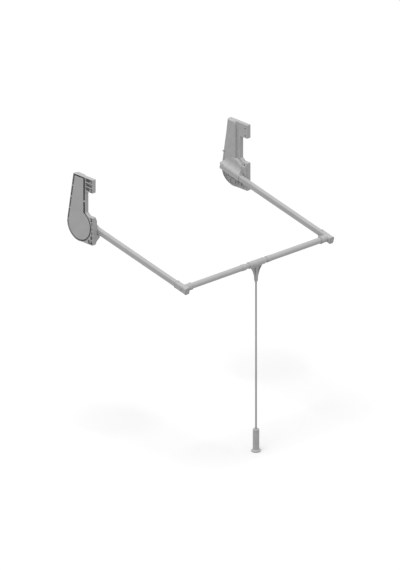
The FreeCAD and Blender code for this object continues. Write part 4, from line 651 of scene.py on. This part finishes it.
# %% Rail tubes and collars
TUBE_WALL = 1.2 * MM
DEBURR = 0.35 * MM
FIT = 0.05 * MM                 # between faces that would otherwise touch
COLLAR_LIP = 2.5 * MM
COLLAR_EDGE = 0.5 * MM
ROUND_STEPS = 96
ALONG_RAIL = AT_RAIL @ Matrix.Rotation(math.radians(90), 4, "Y")


def span_of(node):
    """Where a node of the rail starts and ends along X, and its outer radius."""
    low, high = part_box(node)
    return low.x, high.x, (high.z - low.z) / 2


def pipe(name, low, high, outer, wall):
    """A powder coated tube along the rail."""
    section = [(outer - wall, low), (outer, low), (outer, high), (outer - wall, high)]
    return turned(name, section, DEBURR, ROUND_STEPS, FINISH["tube_paint"], ALONG_RAIL)


def collar(side):
    """A ring on the outer tube whose lip closes in on the inner tube."""
    low, high, outer = span_of(side + "bar_collar")
    tube = span_of(side + "bar_tube")[2] + FIT
    lip = high - COLLAR_LIP if side == "left_" else low + COLLAR_LIP
    end, start = (high, low) if side == "left_" else (low, high)
    bore = RAIL_RADIUS + FIT
    section = [(tube, start), (outer, start), (outer, end), (bore, end), (bore, lip), (tube, lip)]
    return turned(side + "guide_collar", section, COLLAR_EDGE, ROUND_STEPS, FINISH["fitting_moulding"],
                  ALONG_RAIL)


for side in ("left_", "right_"):
    low, high, outer = span_of(side + "bar_tube")
    made = fit(pipe(side + "rail_tube", low, high, outer, TUBE_WALL), side + "bar_tube")
    ring = fit(collar(side), side + "bar_collar")
    print(made.name, round((high - low) / MM, 1), "mm long;", ring.name, len(ring.data.polygons), "faces")
low, high, outer = span_of("inner_tube")
inner = fit(pipe("inner_rail_tube", low, high, outer, TUBE_WALL), "inner_tube")
print(inner.name, round((high - low) / MM, 1), "mm long")

# %% [markdown]
# ## Pull rod
# The rod is an 8 mm bar that hangs from the tee.  A cylinder would do for it,
# but the lathe also takes the sharp edge off both ends.

# %% Pull rod
ROD_EDGE = 0.6 * MM
ROD_STEPS = 48
rod_low, rod_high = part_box("pull_rod")
rod_radius = (rod_high.x - rod_low.x) / 2
HANG = Matrix.Translation(((rod_low.x + rod_high.x) / 2, RAIL.y, 0))
bar = [(0, rod_low.z), (rod_radius, rod_low.z), (rod_radius, rod_high.z), (0, rod_high.z)]
rod = fit(turned("pull_rod_bar", bar, ROD_EDGE, ROD_STEPS, FINISH["tube_paint"], HANG), "pull_rod")
print(rod.name, round((rod_high.z - rod_low.z) / MM, 1), "mm long,",
      round(2 * rod_radius / MM, 1), "mm thick")

# %% [markdown]
# ## The grip's outline
# The grip flares to a foot so that the hand can't slip off, and shallow rings
# near its top are there to be felt.  The flare could be a list of points read
# off a drawing, but it is one small arc, so it is worked out from its radius.

# %% Flare and feel rings
FLARE_HEIGHT = 10 * MM
FLARE_RADIUS = 7 * MM
FLARE_STEPS = 10
RING_COUNT = 3
RING_PITCH = 4.5 * MM
RING_FIRST = 8 * MM
RING_DEPTH = 0.45 * MM
RING_HALF = 0.9 * MM


def arc(start, end, radius, steps):
    """Points of an arc between two points, its centre to the left of the way."""
    (x0, z0), (x1, z1) = start, end
    half = math.hypot(x1 - x0, z1 - z0) / 2
    away = math.sqrt(radius ** 2 - half ** 2)
    cx = (x0 + x1) / 2 - (z1 - z0) / (2 * half) * away
    cz = (z0 + z1) / 2 + (x1 - x0) / (2 * half) * away
    first = math.atan2(z0 - cz, x0 - cx)
    turns = [first + 2 * math.asin(half / radius) * i / steps for i in range(steps + 1)]
    return [(cx + radius * math.cos(turn), cz + radius * math.sin(turn)) for turn in turns]


def grip_rings(radius, top):
    """Shallow feel rings below the top of the grip."""
    points = []
    for i in range(RING_COUNT):
        middle = top - RING_FIRST - i * RING_PITCH
        points += [(radius, middle + RING_HALF), (radius - RING_DEPTH, middle + RING_HALF / 2),
                   (radius - RING_DEPTH, middle - RING_HALF / 2), (radius, middle - RING_HALF)]
    return points


print("flare", FLARE_HEIGHT / MM, "mm high,", RING_COUNT, "rings")

# %% [markdown]
# ## Grip and foot
# The grip is a hollow moulding round the rod, closed below by a base with a
# hole for its screw.  Both are round, so both come off the same lathe, and the
# base takes its sizes from the grip that it plugs.

# %% Turn the grip and its base
GRIP_RADIUS = 13.5 * MM
GRIP_WALL = 2.5 * MM
GRIP_TOP_EDGE = 1.5 * MM
GRIP_EDGE = 0.4 * MM
BASE_CHAMFER = 1 * MM
BASE_EDGE = 0.3 * MM
BASE_HOLE = 3.85 * MM
GRIP_STEPS = 72

sleeve_low, sleeve_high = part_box("grip_sleeve")
base_low, base_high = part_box("grip_base")
foot_radius = (sleeve_high.x - sleeve_low.x) / 2
inner_radius = GRIP_RADIUS - GRIP_WALL
flare_top = base_low.z + FLARE_HEIGHT
flare = arc((GRIP_RADIUS, flare_top), (foot_radius, sleeve_low.z), FLARE_RADIUS, FLARE_STEPS)
roof = sleeve_high.z - 2 * GRIP_WALL
shoulder = [(rod_radius + FIT, sleeve_high.z), (GRIP_RADIUS - GRIP_TOP_EDGE, sleeve_high.z),
            (GRIP_RADIUS, sleeve_high.z - 2 * GRIP_TOP_EDGE)]
hollow = [(inner_radius, sleeve_low.z), (inner_radius, roof), (rod_radius + FIT, roof)]
sleeve = shoulder + grip_rings(GRIP_RADIUS, sleeve_high.z) + flare + hollow
grip = turned("grip_body", sleeve, GRIP_EDGE, GRIP_STEPS, FINISH["grip_moulding"], HANG)
fit(grip, "grip_sleeve")

plug_radius = inner_radius - FIT
plug = [(BASE_HOLE, base_low.z), (foot_radius - BASE_CHAMFER, base_low.z),
        (foot_radius, base_low.z + BASE_CHAMFER), (foot_radius, sleeve_low.z), (plug_radius, sleeve_low.z),
        (plug_radius, base_high.z), (BASE_HOLE, base_high.z)]
base = turned("grip_foot", plug, BASE_EDGE, GRIP_STEPS, FINISH["grip_moulding"], HANG)
fit(base, "grip_base")
print("grip", len(grip.data.polygons), "faces, foot", len(base.data.polygons), "faces")

# %% [markdown]
# ## Screws
# The lift is held together by cross-recess screws with button or flat heads
# and by small socket set screws.  Their places could be typed in, but the
# packed screws already hold them.  So each solid of a screw's node is found,
# and its top and its outline are measured along the axis that it is given.

# %% Read the screws from the frame
NEARLY = 0.02 * MM              # corners this near the rim, the top or the tip belong to it
OUT_OF_ARM = LEVEL_TO_ARM.to_3x3() @ Vector((0, 0, 1))


def loose_parts(node):
    """The separate solids of a node, each as a list of its corners, from left to right."""
    shape = bmesh.new()
    shape.from_mesh(frame["nodes"][node].data)
    bmesh.ops.remove_doubles(shape, verts=shape.verts, dist=MERGE)
    unseen, parts = set(shape.verts), []
    while unseen:
        waiting, part = [unseen.pop()], []
        while waiting:
            corner = waiting.pop()
            part.append(corner.co.copy())
            near = {edge.other_vert(corner) for edge in corner.link_edges} & unseen
            unseen -= near
            waiting += near
        parts.append(sorted(part, key=tuple))
    shape.free()
    return sorted(parts, key=lambda part: tuple(part[0]))


def measure_screw(corners, axis):
    """Where the top of a screw is, and its outline from the top to the tip."""
    aim = axis.to_track_quat("Z", "Y")
    local = [aim.inverted() @ c for c in corners]
    middle = [(min(c[i] for c in local) + max(c[i] for c in local)) / 2 for i in (0, 1)]
    rim = [(math.hypot(c.x - middle[0], c.y - middle[1]), c.z) for c in local]
    head = max(r for r, z in rim)
    top, tip = max(z for r, z in rim), min(z for r, z in rim)
    seat = min(z for r, z in rim if r > head - NEARLY)
    flat = max(r for r, z in rim if z > top - NEARLY)
    edge = max(z for r, z in rim if r > head - NEARLY)
    shank = max(r for r, z in rim if z < tip + NEARLY)
    outline = [(0, 0), (flat, 0), (head, edge - top), (head, seat - top), (shank, seat - top),
               (shank, tip - top), (0, tip - top)]
    outline = [point for i, point in enumerate(outline) if point not in outline[:i]]
    return aim @ Vector((middle[0], middle[1], top)), outline


print("knuckle screws", len(loose_parts("left_knuckle_screws")))
print("elbow screws", len(loose_parts("left_elbow_screws")))

# %% [markdown]
# ## Drive a screw
# Every screw is a turned blank with a recess for its driver: two crossed bars
# for a cross, or a prism for a hexagon.  A boolean on each finished screw would
# do, but a tree cuts the blank once and stands an instance on every point,
# aimed along the axis that the point carries.

# %% The screw tree
CROSS_LONG, CROSS_THIN, CROSS_DEEP = 0.6, 0.14, 0.4      # shares of the head's radius
HEXAGON, HEXAGON_DEEP = 0.6, 0.8                         # likewise


def screw_tree():
    """Cut a driver's recess into a blank and stand it on every point."""
    tree, given = new_tree("driven screws", {"Blank": "Object", "Head radius": "Float", "Hexagon": "Bool",
                                             "Finish": "Material"})
    blank = add(tree, "GeometryNodeObjectInfo", {"Object": given["Blank"]}).outputs["Geometry"]

    def size(*shares):
        """Shares of the head's radius as real sizes along X, Y and Z."""
        share = add(tree, "ShaderNodeCombineXYZ", dict(enumerate(shares)))
        return add(tree, "ShaderNodeVectorMath", {0: share.outputs[0], "Scale": given["Head radius"]},
                   operation="SCALE").outputs[0]

    bar = add(tree, "GeometryNodeMeshCube", {"Size": size(2 * CROSS_LONG, 2 * CROSS_THIN, 2 * CROSS_DEEP)})
    blade = add(tree, "GeometryNodeMeshCube", {"Size": size(2 * CROSS_THIN, 2 * CROSS_LONG, 2 * CROSS_DEEP)})
    cross = add(tree, "GeometryNodeMeshBoolean", {"Mesh 2": bar.outputs[0]}, operation="UNION",
                solver="EXACT")
    tree.links.new(blade.outputs[0], cross.inputs["Mesh 2"])
    prism = add(tree, "GeometryNodeMeshCylinder", {"Vertices": 6, "Radius": HEXAGON,
                                                   "Depth": 2 * HEXAGON_DEEP})
    prism = add(tree, "GeometryNodeTransform", {"Geometry": prism.outputs[0], "Scale": size(1, 1, 1)})
    driver = add(tree, "GeometryNodeSwitch", {"Switch": given["Hexagon"], "False": cross.outputs[0],
                                              "True": prism.outputs[0]}, input_type="GEOMETRY")
    screw = add(tree, "GeometryNodeMeshBoolean", {"Mesh 1": blank, "Mesh 2": driver.outputs[0]},
                operation="DIFFERENCE", solver="EXACT")
    axis = add(tree, "GeometryNodeInputNamedAttribute", {"Name": "axis"}, data_type="FLOAT_VECTOR")
    aim = add(tree, "FunctionNodeAlignRotationToVector", {"Vector": axis.outputs[0]}, axis="Z")
    stood = add(tree, "GeometryNodeInstanceOnPoints", {"Points": given["Geometry"],
                                                       "Instance": screw.outputs[0],
                                                       "Rotation": aim.outputs[0]})
    return close_tree(tree, stood.outputs[0], given["Finish"])


SCREWS = screw_tree()
print("screw tree", len(SCREWS.nodes), "nodes")

# %% [markdown]
# ## Stand the screws
# Two screws hold each cover, two hold each arm in its knuckle, and each elbow
# has one screw in its cap and two socket set screws.  Screws of one node go in
# one piece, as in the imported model; those of different sizes are made apart
# and then joined.

# %% Stand the screws on their points
HEAD_STEPS = 40
HEAD_EDGE = 0.06                # share of the head's radius


def stand(name, parts, axis, socket=False):
    """Screws of one size: a blank, its points and their axis."""
    places, outlines = zip(*(measure_screw(part, axis) for part in parts))
    outline = outlines[0]
    head = max(r for r, z in outline)
    blank = turned(name + "_blank", outline, HEAD_EDGE * head, HEAD_STEPS, FINISH["screw_steel"])
    mesh = bpy.data.meshes.new(name)
    mesh.from_pydata(places, [], [])
    aims = mesh.attributes.new("axis", "FLOAT_VECTOR", "POINT")
    aims.data.foreach_set("vector", list(axis) * len(places))
    piece = run_tree(new_piece(name, mesh), SCREWS, {"Blank": blank, "Head radius": head, "Hexagon": socket,
                                                     "Finish": FINISH["screw_steel"]})
    bpy.data.objects.remove(blank)
    return piece


def join(name, pieces):
    """Several pieces as one, for screws that share a node."""
    shape = bmesh.new()
    for piece in pieces:
        shape.from_mesh(piece.data)
        bpy.data.objects.remove(piece)
    mesh = bpy.data.meshes.new(name)
    shape.to_mesh(mesh)
    shape.free()
    return new_piece(name, mesh)


for side, inwards in (("left_", Vector((1, 0, 0))), ("right_", Vector((-1, 0, 0)))):
    cover = stand(side + "cover_screws", loose_parts(side + "plate_screws"), inwards)
    fit(cover, side + "plate_screws", finish="cover_screw_steel")
    arm = stand(side + "arm_screws", loose_parts(side + "knuckle_screws"), -OUT_OF_ARM)
    fit(arm, side + "knuckle_screws")
    *sockets, cap_screw = sorted(loose_parts(side + "elbow_screws"), key=len)
    sockets.sort(key=lambda part: part[0].y)
    heads = [stand(side + "headed", [cap_screw], -inwards),
             stand(side + "socket_top", [sockets[1]], OUT_OF_ARM, socket=True),
             stand(side + "socket_low", [sockets[0]], -OUT_OF_ARM, socket=True)]
    corner = fit(join(side + "corner_screws", heads), side + "elbow_screws")
    print(cover.name, arm.name, corner.name, len(corner.data.polygons), "faces")
fit(stand("rail_lock_screw", loose_parts("tee_set_screw"), Vector((0, 1, 0)), socket=True), "tee_set_screw")
fit(stand("foot_screw", loose_parts("grip_screw"), Vector((0, 0, -1))), "grip_screw")
